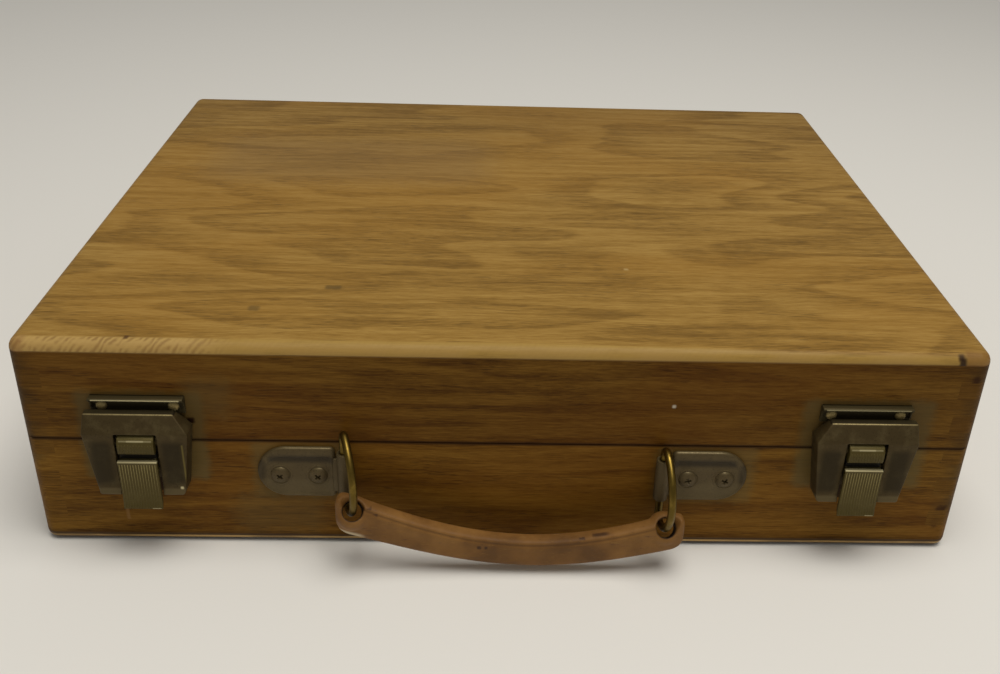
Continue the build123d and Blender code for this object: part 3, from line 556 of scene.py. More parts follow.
def stacked(loops, closed=True):
    """A skin through loops of points with the same count, with its two ends filled."""
    bm = bmesh.new()
    rows = [[bm.verts.new(p) for p in loop] for loop in loops]
    count = len(rows[0])
    for first, second in zip(rows, rows[1:]):
        for i in range(count):
            k = (i + 1) % count
            bm.faces.new((first[i], first[k], second[k], second[i]))
    if closed:
        bm.faces.new(rows[0][::-1])
        bm.faces.new(rows[-1])
    bmesh.ops.recalc_face_normals(bm, faces=bm.faces)
    return bm


def turned(x, z, profile, sides):
    """A solid turned about a line square to the front; the profile is (radius, out), from line to line."""
    loops = []
    for r, out in profile[1:-1]:
        loops.append([at(x + r * math.cos(a), out, z + r * math.sin(a)) for a in turns(sides)])
    bm = stacked(loops, closed=False)
    bm.verts.ensure_lookup_table()
    for ring, (_, out) in ((list(bm.verts[:sides]), profile[0]), (list(bm.verts[-sides:]), profile[-1])):
        tip = bm.verts.new(at(x, out, z))
        for i in range(sides):
            bm.faces.new((ring[i], ring[(i + 1) % sides], tip))
    bmesh.ops.recalc_face_normals(bm, faces=bm.faces)
    return bm


def wire(points, radius, sides):
    """A closed round wire through points, whose rings are carried along without twisting."""
    count = len(points)
    ahead = [(points[(i + 1) % count] - points[i - 1]).normalized() for i in range(count)]
    across = ahead[0].orthogonal().normalized()
    loops = []
    for point, forward in zip(points, ahead):
        across = (across - forward * across.dot(forward)).normalized()
        loops.append(circle(point, across, forward.cross(across), radius, sides))
    bm = stacked(loops + loops[:1], closed=False)
    bmesh.ops.remove_doubles(bm, verts=bm.verts, dist=same_point)
    bmesh.ops.recalc_face_normals(bm, faces=bm.faces)
    return bm


class Piece:
    """Collects the meshes of one piece and finishes it as one object in its place."""

    def __init__(self, *parts):
        self.bm = bmesh.new()
        for part in parts:
            self.add(part)

    def add(self, part):
        mesh = mesh_from(part, "part") if isinstance(part, bmesh.types.BMesh) else part
        self.bm.from_mesh(mesh)
        bpy.data.meshes.remove(mesh)

    def done(self, name, body, slot, material, *replaces, smooth=38):
        bmesh.ops.triangulate(self.bm, faces=[f for f in self.bm.faces if len(f.verts) > 4])
        note_wear_and_lighting(self.bm)
        mesh = mesh_from(self.bm, name)
        mesh.shade_smooth()
        mesh.set_sharp_from_angle(angle=math.radians(smooth))
        mesh.materials.append(material)
        made = add_object(name, mesh)
        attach(made, body)
        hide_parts(*replaces)


def note_wear_and_lighting(bm):
    """Stores edge wear and a painted highlight: 0 on flats and in hollows, up to 1 on a sharp edge that faces
    up.
    """
    bm.normal_update()
    layer = bm.verts.layers.float.new("wear_and_highlight")
    for v in bm.verts:
        bends = [e.calc_face_angle_signed(0) for e in v.link_edges if len(e.link_faces) == 2]
        # painted highlight: an edge counts fully only where it faces up, towards the lamp, and hardly where it
        # faces sideways
        painted_highlight = 0.08 + 0.92 * max(0.0, v.normal.z - 0.9 * abs(v.normal.x))
        v[layer] = min(1.0, max(0.0, max(bends, default=0.0)) / 0.7) * painted_highlight


def modify(obj, kind, **settings):
    modifier = obj.modifiers.new(kind.lower(), kind)
    for name, value in settings.items():
        setattr(modifier, name, value)
    return modifier


def whole_mesh(obj):
    """The mesh of an object with its modifiers applied; the object itself is removed."""
    bpy.context.view_layer.update()
    mesh = bpy.data.meshes.new_from_object(obj.evaluated_get(bpy.context.evaluated_depsgraph_get()))
    bpy.data.objects.remove(obj)
    return mesh


print("mesh helpers ready")

# %% [markdown]
# ## Geometry Nodes for what repeats
# Two things repeat on this box: the fine ribs on the catches, and the screws and rivets. Each gets a small
# node tree. `ribs` takes the path of one rib, turns it into a thin bar and copies that sideways. `heads` puts
# one head on every point, each turned by its own amount from a fixed seed, because nobody drives screws to
# one angle.

# %% Rib and head trees
def give_copies(graph, material, inputs):
    """Ends a tree: puts copies on points, makes them real and gives them the material."""
    copies = graph.out("GeometryNodeInstanceOnPoints", inputs, "Instances")
    real = graph.out("GeometryNodeRealizeInstances", {"Geometry": copies}, "Geometry")
    dressed = graph.out("GeometryNodeSetMaterial", {"Geometry": real, "Material": material}, "Geometry")
    graph.give(Geometry=dressed)


g, given = new_group(
    "GeometryNodeTree",
    "ribs",
    {"Geometry": "Geometry", "Count": "Int", "Pitch": "Float", "Radius": "Float", "Material": "Material"},
    {"Geometry": "Geometry"},
)
rib_tree = g.tree
path = g.out("GeometryNodeMeshToCurve", {"Mesh": given["Geometry"]}, "Curve")
section = g.out("GeometryNodeCurvePrimitiveCircle", {"Resolution": 8, "Radius": given["Radius"]}, "Curve")
bar = g.out("GeometryNodeCurveToMesh", {"Curve": path, "Profile Curve": section, "Fill Caps": True}, "Mesh")
start = g.combine((given["Count"] - 1.0) * (given["Pitch"] * -0.5))
line = {"Count": given["Count"], "Start Location": start, "Offset": g.combine(given["Pitch"])}
give_copies(g, given["Material"], {"Points": g.out("GeometryNodeMeshLine", line, "Mesh"), "Instance": bar})

g, given = new_group(
    "GeometryNodeTree",
    "heads",
    {"Geometry": "Geometry", "Head": "Object", "Seed": "Int", "Axis": "Vector", "Material": "Material"},
    {"Geometry": "Geometry"},
)
head_tree = g.tree
head = g.out("GeometryNodeObjectInfo", {"Object": given["Head"]}, "Geometry")
largest, full_turn = 3, 6.28  # several inputs of this node are called Max, so it goes by its number
angle = g.out("FunctionNodeRandomValue", {largest: full_turn, "Seed": given["Seed"]}, 1, data_type="FLOAT")
spin = g.out("FunctionNodeAxisAngleToRotation", {"Axis": given["Axis"], "Angle": angle}, "Rotation")
give_copies(g, given["Material"], {"Points": given["Geometry"], "Instance": head, "Rotation": spin})


def grow(tree, points, edges, values):
    """Runs a tree on points joined by edges, and returns the mesh that it makes."""
    mesh = bpy.data.meshes.new("seed")
    mesh.from_pydata([tuple(p) for p in points], edges, [])
    seed = add_object("seed", mesh)
    modifier = modify(seed, "NODES", node_group=tree)
    for item in tree.interface.items_tree:
        if item.in_out == "INPUT" and item.name in values:
            modifier[item.identifier] = values[item.name]
    return whole_mesh(seed)


print("trees:", rib_tree.name, head_tree.name)

# %% [markdown]
# ## Aged brass
# The fittings were brass once, and have gone dull and brownish green, with painted shade in the hollows and
# brighter metal on the edges. The material is one metal whose colour runs from tarnish to bright brass: an
# attribute of edge wear and painted highlight brings out the edges, and noise makes the flat faces cloudy and
# a little spotted. The ring wires see the most wear, so they use the same group with less tarnish.

# %% Brass materials
g, given = new_group(
    "ShaderNodeTree",
    "tarnish",
    {"Vector": "Vector", "Worn": "Float", "Dirt": "Float", "Shine": "Float"},
    {"Bare": "Float", "Spots": "Float", "Roughness": "Float"},
)
tarnish = g.tree
cloud = g.noise(given["Vector"], 0.16, detail=5.0, roughness=0.65)
grit = g.noise(given["Vector"], 1.7)
bare_and_highlight = g.math("ADD", given["Worn"].step(0.15, 0.75), cloud.step(0.45, 0.75) * given["Shine"], clamp=True)
bare_and_highlight = bare_and_highlight * grit.step(0.3, 0.55, 0.6, 1.0)
g.give(Bare=bare_and_highlight, Spots=grit.step(0.56, 0.70) * given["Dirt"], Roughness=bare_and_highlight.step(0.0, 1.0, 0.55, 0.30))


def make_brass(name, dull, bright, shade_and_dirt=0.3, shine=0.0, metallic=0.6, polish=0.0, marks=()):
    """Aged brass. A mark is (tint, centre, half size, fade, strength), such as painted shade or a painted
    highlight.
    """
    paint = Paint(name)
    aged = paint.group(tarnish, Vector=paint.place, Worn=paint.attribute("wear_and_highlight"), Dirt=shade_and_dirt, Shine=shine)
    colour = paint.mix(aged["Bare"], srgb(*dull), srgb(*bright))
    colour = paint.mix(aged["Spots"], colour, srgb(*dull, share=0.45))
    colour = add_marks(paint, colour, [(*values, 0.0, strength) for *values, strength in marks])
    return paint.finish(colour, aged["Roughness"] - polish, aged["Spots"], 0.15, 0.05, 0.3, metallic)


catches = (("left", -122.0), ("right", 122.0))
# The first colour paints shade into hollows, the third a lighter band where a lower face meets the light, and
# the last highlights on edges.
shade_and_dirt, olive, painted_light_band, painted_highlight = (14, 9, 4), (36, 28, 7), (104, 91, 62), (206, 194, 150)
cover_marks, strike_marks, tab_marks, plate_marks = [], [], [], []
for side, cx in catches:
    cover_marks += [
        # painted shade on the draw plate's top face, under the strike's lip
        (shade_and_dirt, (cx, -127.4, 58.3), (20, 1.2, 0.25), 0.35, 0.75),
        (olive, (cx - 11.6, -132, 40.5), (1.8, 2, 7.0), 3.2, 0.72),
        (olive, (cx + 11.6, -132, 40.5), (1.8, 2, 7.0), 3.2, 0.72),
        # painted highlight: a lighter band along the cover's flared foot
        (painted_light_band, (cx, -132.5, 28.9), (16, 2, 0.7), 1.2, 0.65),
    ]
    strike_marks += [
        # painted shade in the strike's recess, below its lip
        (shade_and_dirt, (cx, -125.0, 59.8), (14.2, 1.6, 1.2), 1.2, 0.45),
        # painted highlight along the strike's lip, brighter on the left catch
        (painted_highlight, (cx, -127.15, 62.1), (14.2, 0.1, 0.12), 0.4, 0.9 if cx < 0 else 0.45),
    ]
    tab_marks += [
        # painted shade in the gap between the knob and the tab
        (shade_and_dirt, (cx, -130.0, 43.3), (8.0, 3.1, 1.15), 0.2, 0.95),
        # painted highlights: the tab's lower corner, two lines on the knob's bend, and the tab's top edge
        (painted_highlight, (cx + 4.6, -133.7, 22.9), (1.2, 0.6, 0.1), 0.5, 0.6),
        (painted_highlight, (cx, -132.4, 49.7), (2.6, 1.0, 0.02), 0.36, 0.5),
        (painted_highlight, (cx, -132.4, 49.7), (5.2, 1.0, 0.02), 0.36, 0.35),
        (painted_highlight, (cx, -132.9, 41.9), (6.4, 0.4, 0.04), 0.4, 0.6),
    ]
cover_marks += [
    # painted highlights on the left cover: a thin line down its right edge, and a spot near its lower right
    # corner
    ((128, 114, 58), (-106.9, -132.2, 40.0), (0.05, 0.6, 8.0), 0.42, 0.5),
    (painted_highlight, (-108.6, -132, 30.6), (0.2, 1, 0.2), 0.6, 0.9),
]
for s in (-1, 1):
    plate_marks += [
        # painted shade on the sunk field's top wall, and in the valley at its round end
        (shade_and_dirt, (s * 69.5, -125.4, 38.0), (10.0, 1.5, 0.5), 2.0, 0.6),
        (shade_and_dirt, (s * 83.2, -125.4, 33.5), (0.2, 1.5, 3.0), 2.2, 0.45),
        # painted highlight: a lighter band on the sunk field's lower wall, which faces up
        (painted_light_band, (s * 70.0, -125.4, 25.5), (11.0, 1.5, 2.4), 2.5, 0.35),
    ]
catch_brass = make_brass("catch_brass", (70, 57, 31), (186, 168, 116), 0.4, 0.1, marks=cover_marks)
strike_brass = make_brass("strike_brass", (66, 57, 33), (104, 92, 60), marks=strike_marks)
tab_brass = make_brass("tab_brass", (78, 66, 26), (160, 146, 92), 0.4, 0.06, 0.4, marks=tab_marks)
rivet_brass = make_brass("rivet_brass", (148, 130, 84), (200, 184, 130), shine=0.5, polish=0.1)
plate_brass = make_brass("plate_brass", (84, 70, 43), (116, 102, 68), 0.5, 0.25, 0.4, marks=plate_marks)
ring_brass = make_brass("ring_brass", (98, 80, 34), (160, 134, 62), 0.3, 0.5, 1.0, 0.12)
inner_brass = make_brass("inner_brass", (140, 116, 62), (196, 168, 96), 0.25, 0.6, 0.9)
print("brass materials:", len([m for m in bpy.data.materials if m.name.endswith("_brass")]))

# %% [markdown]
# ## The catches
# A toggle catch is a stack of pressed parts. The strike on the lid is a shallow channel held by two rivets.
# The draw plate is a tapered cover, folded from one sheet, and its sloping top hooks over the strike. The
# lever shows through a window in it: a ribbed knob above, and a ribbed tab that a finger lifts. Each is
# modelled as its own piece on its own body, because they all move differently.

# %% Strike and rivets
def rivet_heads(out, cx, apart, z, seed, material):
    """Two domed heads, this far to both sides of a catch's middle, standing on a sheet."""
    dome = [(0.0, 1.0), (0.7, 0.95), (1.3, 0.74), (1.72, 0.4), (1.9, 0.0)]
    dome += [(1.25, -0.05), (1.25, -2.0), (0.0, -2.0)]
    head = turned(0, 0, [(r, out + height) for r, height in dome], 24)
    return Piece(set_heads(head, [(cx - apart, 0, z), (cx + apart, 0, z)], seed, material))


def set_heads(head, places, seed, material, axis=(0.0, 1.0, 0.0)):
    """Puts a head made at x = z = 0 at each place (x, y, z) with the heads tree."""
    shape = add_object("head", mesh_from(head, "head"))
    points = [tuple(v * mm for v in place) for place in places]
    made = grow(head_tree, points, [], {"Head": shape, "Seed": seed, "Axis": axis, "Material": material})
    bpy.data.objects.remove(shape)
    return made


strike_half, strike_low, strike_high = 15.5, 56.1, 62.7
lip = [(0, 62.0), (2.1, 62.0), (2.5, 61.8), (2.9, 61.8), (3.1, 62.2), (2.8, 62.65), (2.3, 62.7), (0, 62.7)]
cheek = [(0, 57.4), (1.3, 58.2), (1.6, 60.4), (2.8, 61.7), (2.8, 62.5), (0, 62.6)]
for side, cx in catches:
    shelf = rectangle(cx + math.copysign(1.5, cx), 12.6, strike_low, strike_low + 1.0)
    strike = Piece(
        prism(rectangle(cx, strike_half, strike_low, strike_high), "out", 0, 0.9, 0.25),
        strip(lip, cx, strike_half, 0.2),
        prism(shelf, "out", 0, 4.3, 0.3),
        strip(cheek, cx - 15.1, 0.38, 0.2),
        strip(cheek, cx + 15.1, 0.38, 0.2),
    )
    catch = f"catch_{side}"
    strike.done(f"{catch}_strike_pressing", "lid", "aged_brass", strike_brass, f"{catch}_strike")
    heads = rivet_heads(0.88, cx, 11.8, 59.0, 3, rivet_brass)
    heads.done(f"{catch}_strike_rivet_heads", "lid", "aged_brass", rivet_brass, f"{catch}_strike_rivets")
    heads = rivet_heads(1.1, cx, 9.6, 33.0, 4, catch_brass)
    heads.done(f"{catch}_base_rivet_heads", "base", "aged_brass", catch_brass, f"{catch}_base_rivets")
print("strikes and rivets made")

# %% [markdown]
# ## Draw plate
# Folding a sheet is easiest to copy as a sheet: the faces of the fold are drawn first, with the window left
# open, then Solidify gives the 0.9 mm wall on the inside and Bevel rounds the folds. A block with a hole cut
# through it would need a boolean, and its wall would have to be kept even by hand.

# %% Draw plate
def draw_plate(cx):
    back, hook, roof, face, flare = 0.7, 2.2, 5.2, 8.0, 8.7
    hem, sill, brow, top = 28.0, 29.6, 52.0, 58.3
    window, shift, top_half = 6.95, math.copysign(2.2, cx), 14.7
    bm = bmesh.new()

    def sheet(*corners):
        bm.faces.new([bm.verts.new(at(cx + x, out, z)) for x, out, z in corners])

    for s in (-1, 1):
        near, hem_x, hem_back = s * window, s * 14.0, s * 14.3
        low, high, tip = s * 14.5, s * 17.3, shift + s * top_half
        sheet((near, face, sill), (low, face, sill), (high, face, brow), (near, face, brow))
        sheet((near, flare, hem), (hem_x, flare, hem), (low, face, sill), (near, face, sill))
        sheet((high, face, brow), (tip, roof, top), (near, roof, top), (near, face, brow))
        sheet((low, face, sill), (low, back, sill), (high, back, brow), (high, face, brow))
        sheet((hem_x, flare, hem), (hem_back, back, hem), (low, back, sill), (low, face, sill))
        sheet((high, face, brow), (high, back, brow), (tip, hook, top), (tip, roof, top))
        sheet((tip, roof, top), (tip, hook, top), (near, hook, top), (near, roof, top))
    sheet((-window, face, brow), (window, face, brow), (window, roof, top), (-window, roof, top))
    sheet((-window, roof, top), (window, roof, top), (window, hook, top), (-window, hook, top))
    bmesh.ops.remove_doubles(bm, verts=bm.verts, dist=same_point)
    bmesh.ops.recalc_face_normals(bm, faces=bm.faces)
    if max(bm.faces, key=lambda f: f.calc_area()).normal.y > 0:
        bmesh.ops.reverse_faces(bm, faces=bm.faces)
    plate = add_object("plate", mesh_from(bm, "plate"))
    modify(plate, "SOLIDIFY", thickness=0.9 * mm, offset=-1.0, use_even_offset=True)
    modify(plate, "BEVEL", width=0.42 * mm, segments=3, limit_method="ANGLE", angle_limit=math.radians(15))
    return whole_mesh(plate)


ear = [(7.2, 36.2), (4.8, 38.2), (3.4, 38.3), (2.4, 40.0), (3.4, 41.7), (4.8, 41.8), (7.2, 43.8)]
for side, cx in catches:
    plate = Piece(draw_plate(cx), strip(ear, cx - 7.4, 0.45, 0.2), strip(ear, cx + 7.4, 0.45, 0.2))
    names = (f"catch_{side}_draw_cover", f"draw_plate_{side}")
    plate.done(*names, "aged_brass", catch_brass, f"catch_{side}_draw_plate")
print("draw plates made")

# %% [markdown]
# ## Lever
# The knob is a bent strip, so its side view is extruded across and its edges are rounded. The ribs follow
# that side view: the rib tree repeats a path that lies just on it.

# %% Lever
knob = [(5.6, 51.5), (6.8, 51.1), (7.8, 50.4), (8.5, 49.3), (8.8, 48.0), (8.8, 45.6), (8.4, 44.6)]
knob += [(7.4, 44.1), (7.0, 44.1), (7.0, 42.1), (8.2, 42.1), (8.2, 40.9), (6.1, 40.9), (5.8, 45.3), (7.5, 45.5)]
knob += [(7.5, 48.0), (6.7, 49.8), (4.6, 50.5), (4.6, 51.7)]
tab = [(8.2, 42.1), (9.0, 42.1), (9.5, 41.9), (9.5, 41.2), (9.35, 40.9), (9.35, 25.2), (9.9, 23.0), (9.4, 22.7)]
tab += [(8.2, 25.0)]
flank = [(4.6, 51.0), (7.2, 49.6), (7.9, 47.6), (7.9, 45.4), (6.4, 44.9), (6.4, 41.5), (8.6, 41.0), (8.6, 35.5)]
flank += [(5.6, 37.6), (3.0, 38.2), (2.1, 40.0), (2.2, 48.0), (2.6, 49.6)]
knob_path = [(8.3, 49.0), (8.66, 48.0), (8.72, 47.2), (8.72, 45.7), (8.4, 44.9)]
tab_path = [(9.17, 41.3), (9.17, 25.2), (9.7, 23.3)]


def ribs(cx, path, count, pitch, radius):
    """A row of ribs; the path is (out, z)."""
    edges = [(i, i + 1) for i in range(len(path) - 1)]
    values = {"Count": count, "Pitch": pitch * mm, "Radius": radius * mm, "Material": tab_brass}
    return grow(rib_tree, [at(cx, out, z) for out, z in path], edges, values)


for side, cx in catches:
    lever = Piece(
        strip(knob, cx, 6.0, 0.3),
        strip(tab, cx, 6.5, 0.22),
        strip(flank, cx - 5.5, 0.5, 0.2),
        strip(flank, cx + 5.5, 0.5, 0.2),
        ribs(cx, knob_path, 12, 0.95, 0.2),
        ribs(cx, tab_path, 14, 0.9, 0.28),
    )
    lever.done(f"catch_{side}_lever_pressing", f"lever_{side}", "aged_brass", tab_brass, f"catch_{side}_lever")
print("levers made")

# %% [markdown]
# ## Handle plates and rings
# Each ring turns in a plate that is pressed from sheet: a raised rim, a sunk field with two screws in dished
# seats, and a barrel rolled at the inner end round the ring's straight leg. The plate is a stack of outlines,
# each a little smaller, at its own height. That gives the rim and the field in one skin, where extruding and
# beveling would need the rim to be picked out by hand.

# %% Handle plates
plate_length, plate_height, plate_z, plate_inner = 26.6, 20.6, 32.4, 58.0
leg_x, leg_out, screw_z = 54.6, 3.1, 31.0
screw_columns = {-1: (-77.0, -64.0), 1: (77.0, 64.0)}


def plate_outline(side, inset, out, field, count=24):
    """The plate's outline, with one end round, moved inwards by inset, and by field to the sunk field."""
    top, bottom, end, start = inset + 2.5 * field, inset, inset + 0.35 * field, inset + 0.6 * field
    low_x, high_x = start - plate_length / 2, plate_length / 2 - end
    low_z, high_z = bottom - plate_height / 2, plate_height / 2 - top
    outer, inner = (high_z - low_z) / 2 - 0.05, max(1.8 - inset, 0.5)
    corners = ((high_x, high_z, outer), (low_x, high_z, inner), (low_x, low_z, inner), (high_x, low_z, outer))
    points = []
    for k, (x, z, radius) in enumerate(corners):
        cx, cz = x - math.copysign(radius, x), z - math.copysign(radius, z)
        for i in range(count):
            a = math.pi / 2 * (k + i / (count - 1))
            points.append((cx + radius * math.cos(a), cz + radius * math.sin(a)))
    return [at(side * (plate_inner + plate_length / 2 + x), out, plate_z + z) for x, z in points]


plate_steps = [
    (0.3, 0.0, 0), (0.05, 0.25, 0), (0.0, 0.7, 0), (0.12, 1.1, 0), (0.4, 1.4, 0), (0.85, 1.58, 0),
    (0.85, 1.6, 0.5), (0.9, 1.58, 1), (1.15, 1.45, 1), (1.5, 1.18, 1), (1.9, 1.06, 1), (2.4, 1.02, 1),
]
seat = [(0.0, 0.95), (3.35, 0.95), (3.55, 1.12), (3.8, 1.2), (4.05, 1.16), (4.3, 1.0), (4.3, 0.4), (0.0, 0.4)]
for side, name, top in ((-1, "left", 42.4), (1, "right", 41.2)):
    plate = Piece(stacked([plate_outline(side, *values) for values in plate_steps]))
    root = [(side * 58.8, 0.7), (side * 58.8, 1.7), (side * 55.4, 1.9), (side * 55.4, 0.9)]
    plate.add(prism(root, "z", 24.7, 38.5, 0.25))
    walls = [(1.5, 24.6), (2.2, 24.5), (2.45, 24.75), (2.5, 25.1)]
    walls += [(2.5, top - 0.6), (2.45, top - 0.25), (2.2, top), (1.5, top - 0.1), (1.5, 24.6)]
    barrel = []
    for radius, z in walls:
        angles = [(radius * math.cos(a), radius * math.sin(a)) for a in turns(40)]
        barrel.append([at(side * leg_x + across, leg_out + out, z) for across, out in angles])
    plate.add(stacked(barrel, closed=False))
    for x in screw_columns[side]:
        plate.add(turned(x, screw_z, seat, 40))
    plate.done(f"handle_plate_{name}_pressing", "base", "aged_brass", plate_brass, f"handle_plate_{name}")
print("handle plates made")

# %% [markdown]
# ## Screws with cross recesses
# The recess is the one place where a boolean is the plain way: a tapered cross is cut out of a turned head
# once, and the heads tree then sets four copies, each turned by its own angle.

# %% Handle plate screws
def screw_head(under, radius, height, slot=False, shank=2.0):
    """An oval head at x = z = 0 with a cross recess, or with a slot right across it."""
    dome = [(0.0, height), (radius * 0.35, height * 0.95), (radius * 0.65, height * 0.74)]
    dome += [(radius * 0.88, height * 0.4), (radius, 0.0), (radius * 0.9, -0.25), (radius * 0.4, -0.4)]
    dome += [(radius * 0.4, -shank), (0.0, -shank)]
    head = add_object("head", mesh_from(turned(0, 0, [(r, under + h) for r, h in dome], 36), "head"))
    arm, narrow = (radius * 1.3, radius * 0.15) if slot else (radius * 0.52, radius * 0.13)
    depth, taper = (radius * 0.3, 1.0) if slot else (1.0, 0.35)
    deep, high = under + height - depth, under + height + 0.6
    bm = bmesh.new()
    for crossing in (False,) if slot else (False, True):
        corners = []
        for out, share in ((deep, taper), (high, 1.0)):
            for a, b in ((-1, -1), (1, -1), (1, 1), (-1, 1)):
                x, z = a * arm * share, b * narrow * (0.7 + 0.3 * share)
                corners.append(bm.verts.new(at(z, out, x) if crossing else at(x, out, z)))
        for face in ((0, 1, 2, 3), (7, 6, 5, 4), (0, 4, 5, 1), (1, 5, 6, 2), (2, 6, 7, 3), (3, 7, 4, 0)):
            bm.faces.new([corners[i] for i in face])
    bmesh.ops.recalc_face_normals(bm, faces=bm.faces)
    cutter = add_object("cutter", mesh_from(bm, "cutter"))
    modify(head, "BOOLEAN", operation="DIFFERENCE", solver="EXACT", object=cutter, use_self=True)
    made = whole_mesh(head)
    bpy.data.objects.remove(cutter)
    bm = bmesh.new()
    bm.from_mesh(made)
    bpy.data.meshes.remove(made)
    return bm


screw_places = [(x, 0, screw_z) for x in screw_columns[-1] + screw_columns[1]]
heads = Piece(set_heads(screw_head(1.0, 3.3, 1.3), screw_places, 11, plate_brass))
heads.done("handle_plate_screw_heads", "base", "aged_brass", plate_brass, "handle_plate_screws")
print("handle plate screws made")

# %% [markdown]
# ## Inside and hinges
# The inside never saw varnish, so its wood is paler and dull. The palette, dividers, rails and flat brass
# pieces keep their CAD outlines, but no real board has knife edges: a welded copy of each gets its edges
# rounded. The slotted screws come from the same head and the same tree as the crosses, turned to face the way
# they are driven.

# %% Inside and hinges
def plain_wood(name, seed, along_y, tints):
    paint = Paint(name)
    place = along_grain(paint, along_y)
    colour, roughness, height = oak_colour(paint, place, seed, tints, (5.0, 160.0, 24.0), 0.3)
    return paint, colour, roughness + 0.15, height


def eased(node_name, body, slot, material, width):
    """A welded copy of a CAD piece whose sharp edges are rounded."""
    bm = bmesh.new()
    bm.from_mesh(nodes[node_name].data)
    bmesh.ops.remove_doubles(bm, verts=bm.verts, dist=same_point)
    bmesh.ops.dissolve_limit(bm, angle_limit=math.radians(1), verts=bm.verts, edges=bm.edges)
    round_edges(bm, width)
    Piece(bm).done(f"{node_name}_eased", body, slot, material, node_name)


def facing(bm, direction, place=(0, 0, 0)):
    """Turns a solid made at x = z = 0 of the front to face another way, and moves it to its place."""
    spin = Vector((0, -1, 0)).rotation_difference(Vector(direction)).to_matrix().to_4x4()
    moved = Matrix.Translation(Vector(place) * mm) @ spin @ Matrix.Translation((0, -front_face * mm, 0))
    bmesh.ops.transform(bm, matrix=moved, verts=bm.verts)
    return bm


def pin(half, radius, place):
    """A pin along X with slightly domed ends."""
    end = [(0.0, half), (radius * 0.6, half - 0.06), (radius * 0.9, half - 0.25), (radius, half - 0.6)]
    return Piece(facing(turned(0, 0, end + [(r, -t) for r, t in reversed(end)], 28), (1, 0, 0), place))


board = ((146, 114, 70), (174, 142, 94), (196, 166, 118), (166, 130, 80))
boards_x = (("brush_divider", "base"), ("palette_rail_front", "lid"), ("palette_rail_back", "lid"))
boards_y = (("tube_divider_left", "base"), ("tube_divider_right", "base"))
for name, seed, along_y, pieces in (("board_x", 12.0, False, boards_x), ("board_y", 13.0, True, boards_y)):
    paint, colour, roughness, height = plain_wood(name, seed, along_y, board)
    low = paint.axes(paint.place)[2].step(12.0, 4.0, 0.0, 0.4)
    material = finish_wood(paint, paint.lay(colour, (low, (112, 88, 56))), roughness, height)
    for node_name, body in pieces:
        eased(node_name, body, "inner_wood", material, 0.6)
palette_tints = ((112, 74, 38), (142, 98, 54), (164, 118, 70), (130, 80, 40))
paint, colour, roughness, height = plain_wood("palette_wood", 21.0, False, palette_tints)
colour = add_marks(paint, colour, (
    ((96, 62, 32), (96.5, -18.0, 69.0), (9.0, 9.0, 3.0), 9.0, 4.0, 0.6),
    ((96, 70, 46), (-30.0, 20.0, 69.0), (60.0, 30.0, 3.0), 40.0, 28.0, 0.35),
))
eased("palette", "lid", "palette_wood", finish_wood(paint, colour, roughness - 0.2, height), 0.9)
for node_name, body in (
    ("turn_button_front", "turn_button_front"), ("turn_button_back", "turn_button_back"), ("stay_arm", "stay")
):
    eased(node_name, body, "brass", inner_brass, 0.25)
for side, cx in catches:
    dress(inner_brass, f"hinge_{side}_base_leaf", f"hinge_{side}_lid_leaf")
    dress(catch_brass, f"catch_{side}_base_plate")
    catch, lever, hinge_x = f"catch_{side}", f"lever_{side}", math.copysign(105.0, cx)
    pivot, link = pin(8.5, 2.0, (cx, -128.6, 48.0)), pin(8.7, 1.8, (cx, -128.2, 40.0))
    pivot.done(f"{catch}_pivot", "base", "aged_brass", catch_brass, f"{catch}_pivot_pin")
    link.done(f"{catch}_link", lever, "aged_brass", catch_brass, f"{catch}_link_pin")
    hinge_pin = pin(18.9, 0.95, (hinge_x, 121.0, parting))
    hinge_pin.done(f"hinge_{side}_pin_round", "base", "brass", inner_brass, f"hinge_{side}_pin")


def slotted(name, body, node_names, direction, head_size, places):
    """Slotted screw heads that face one way; the size is (radius, height, shank)."""
    radius, height, shank = head_size
    head = facing(screw_head(0.0, radius, height, slot=True, shank=shank), direction)
    heads = set_heads(head, places, 5 + len(name), inner_brass, axis=tuple(float(abs(v)) for v in direction))
    Piece(heads).done(name, body, "brass", inner_brass, *node_names)


hinge_screw, button_screw, stay_screw = (1.45, 0.3, 8.4), (2.85, 1.8, 8.3), (2.95, 1.35, 8.3)
columns, buttons = (-117.0, -93.0, 93.0, 117.0), ["turn_button_screw_front", "turn_button_screw_back"]
base_places, lid_places = ([(x, 116.9, z) for x in columns] for z in (44.18, 45.12))
button_places = [(0, -110.5, 66.0), (0, 110.5, 66.0)]
slotted("hinge_screw_heads_base", "base", ["hinge_screws_base"], (0, 0, 1), hinge_screw, base_places)
slotted("hinge_screw_heads_lid", "lid", ["hinge_screws_lid"], (0, 0, -1), hinge_screw, lid_places)
slotted("turn_button_screw_heads", "lid", buttons, (0, 0, -1), button_screw, button_places)
slotted("stay_pivot_head", "lid", ["stay_pivot_screw"], (-1, 0, 0), stay_screw, [(150.5, 99.6, 51.6)])
slotted("stay_stud_head", "base", ["stay_stud"], (-1, 0, 0), stay_screw, [(150.5, 99.6, 37.7)])
print("inside dressed")

# %% [markdown]
# ## Rings
# Each ring is one round wire bent to a D. Its straight leg turns in the barrel, and the bow is a half circle
# with two small corners, so the path is a line and three arcs, walked in small steps with a round section.

# %% Rings
wire_radius, bow, corner = 1.35, 15.3, 3.0
ring_stands = {"left": (-leg_x, 36.2, 18.0), "right": (leg_x, 31.1, 5.0)}


def ring_point(stand, across, up):
    """A point of a ring's plane: across is measured from the leg, along the way the ring leans."""
    x, z, lean = stand
    a = math.radians(lean)
    return at(x + across * math.sin(a), leg_out + across * math.cos(a), z + up)


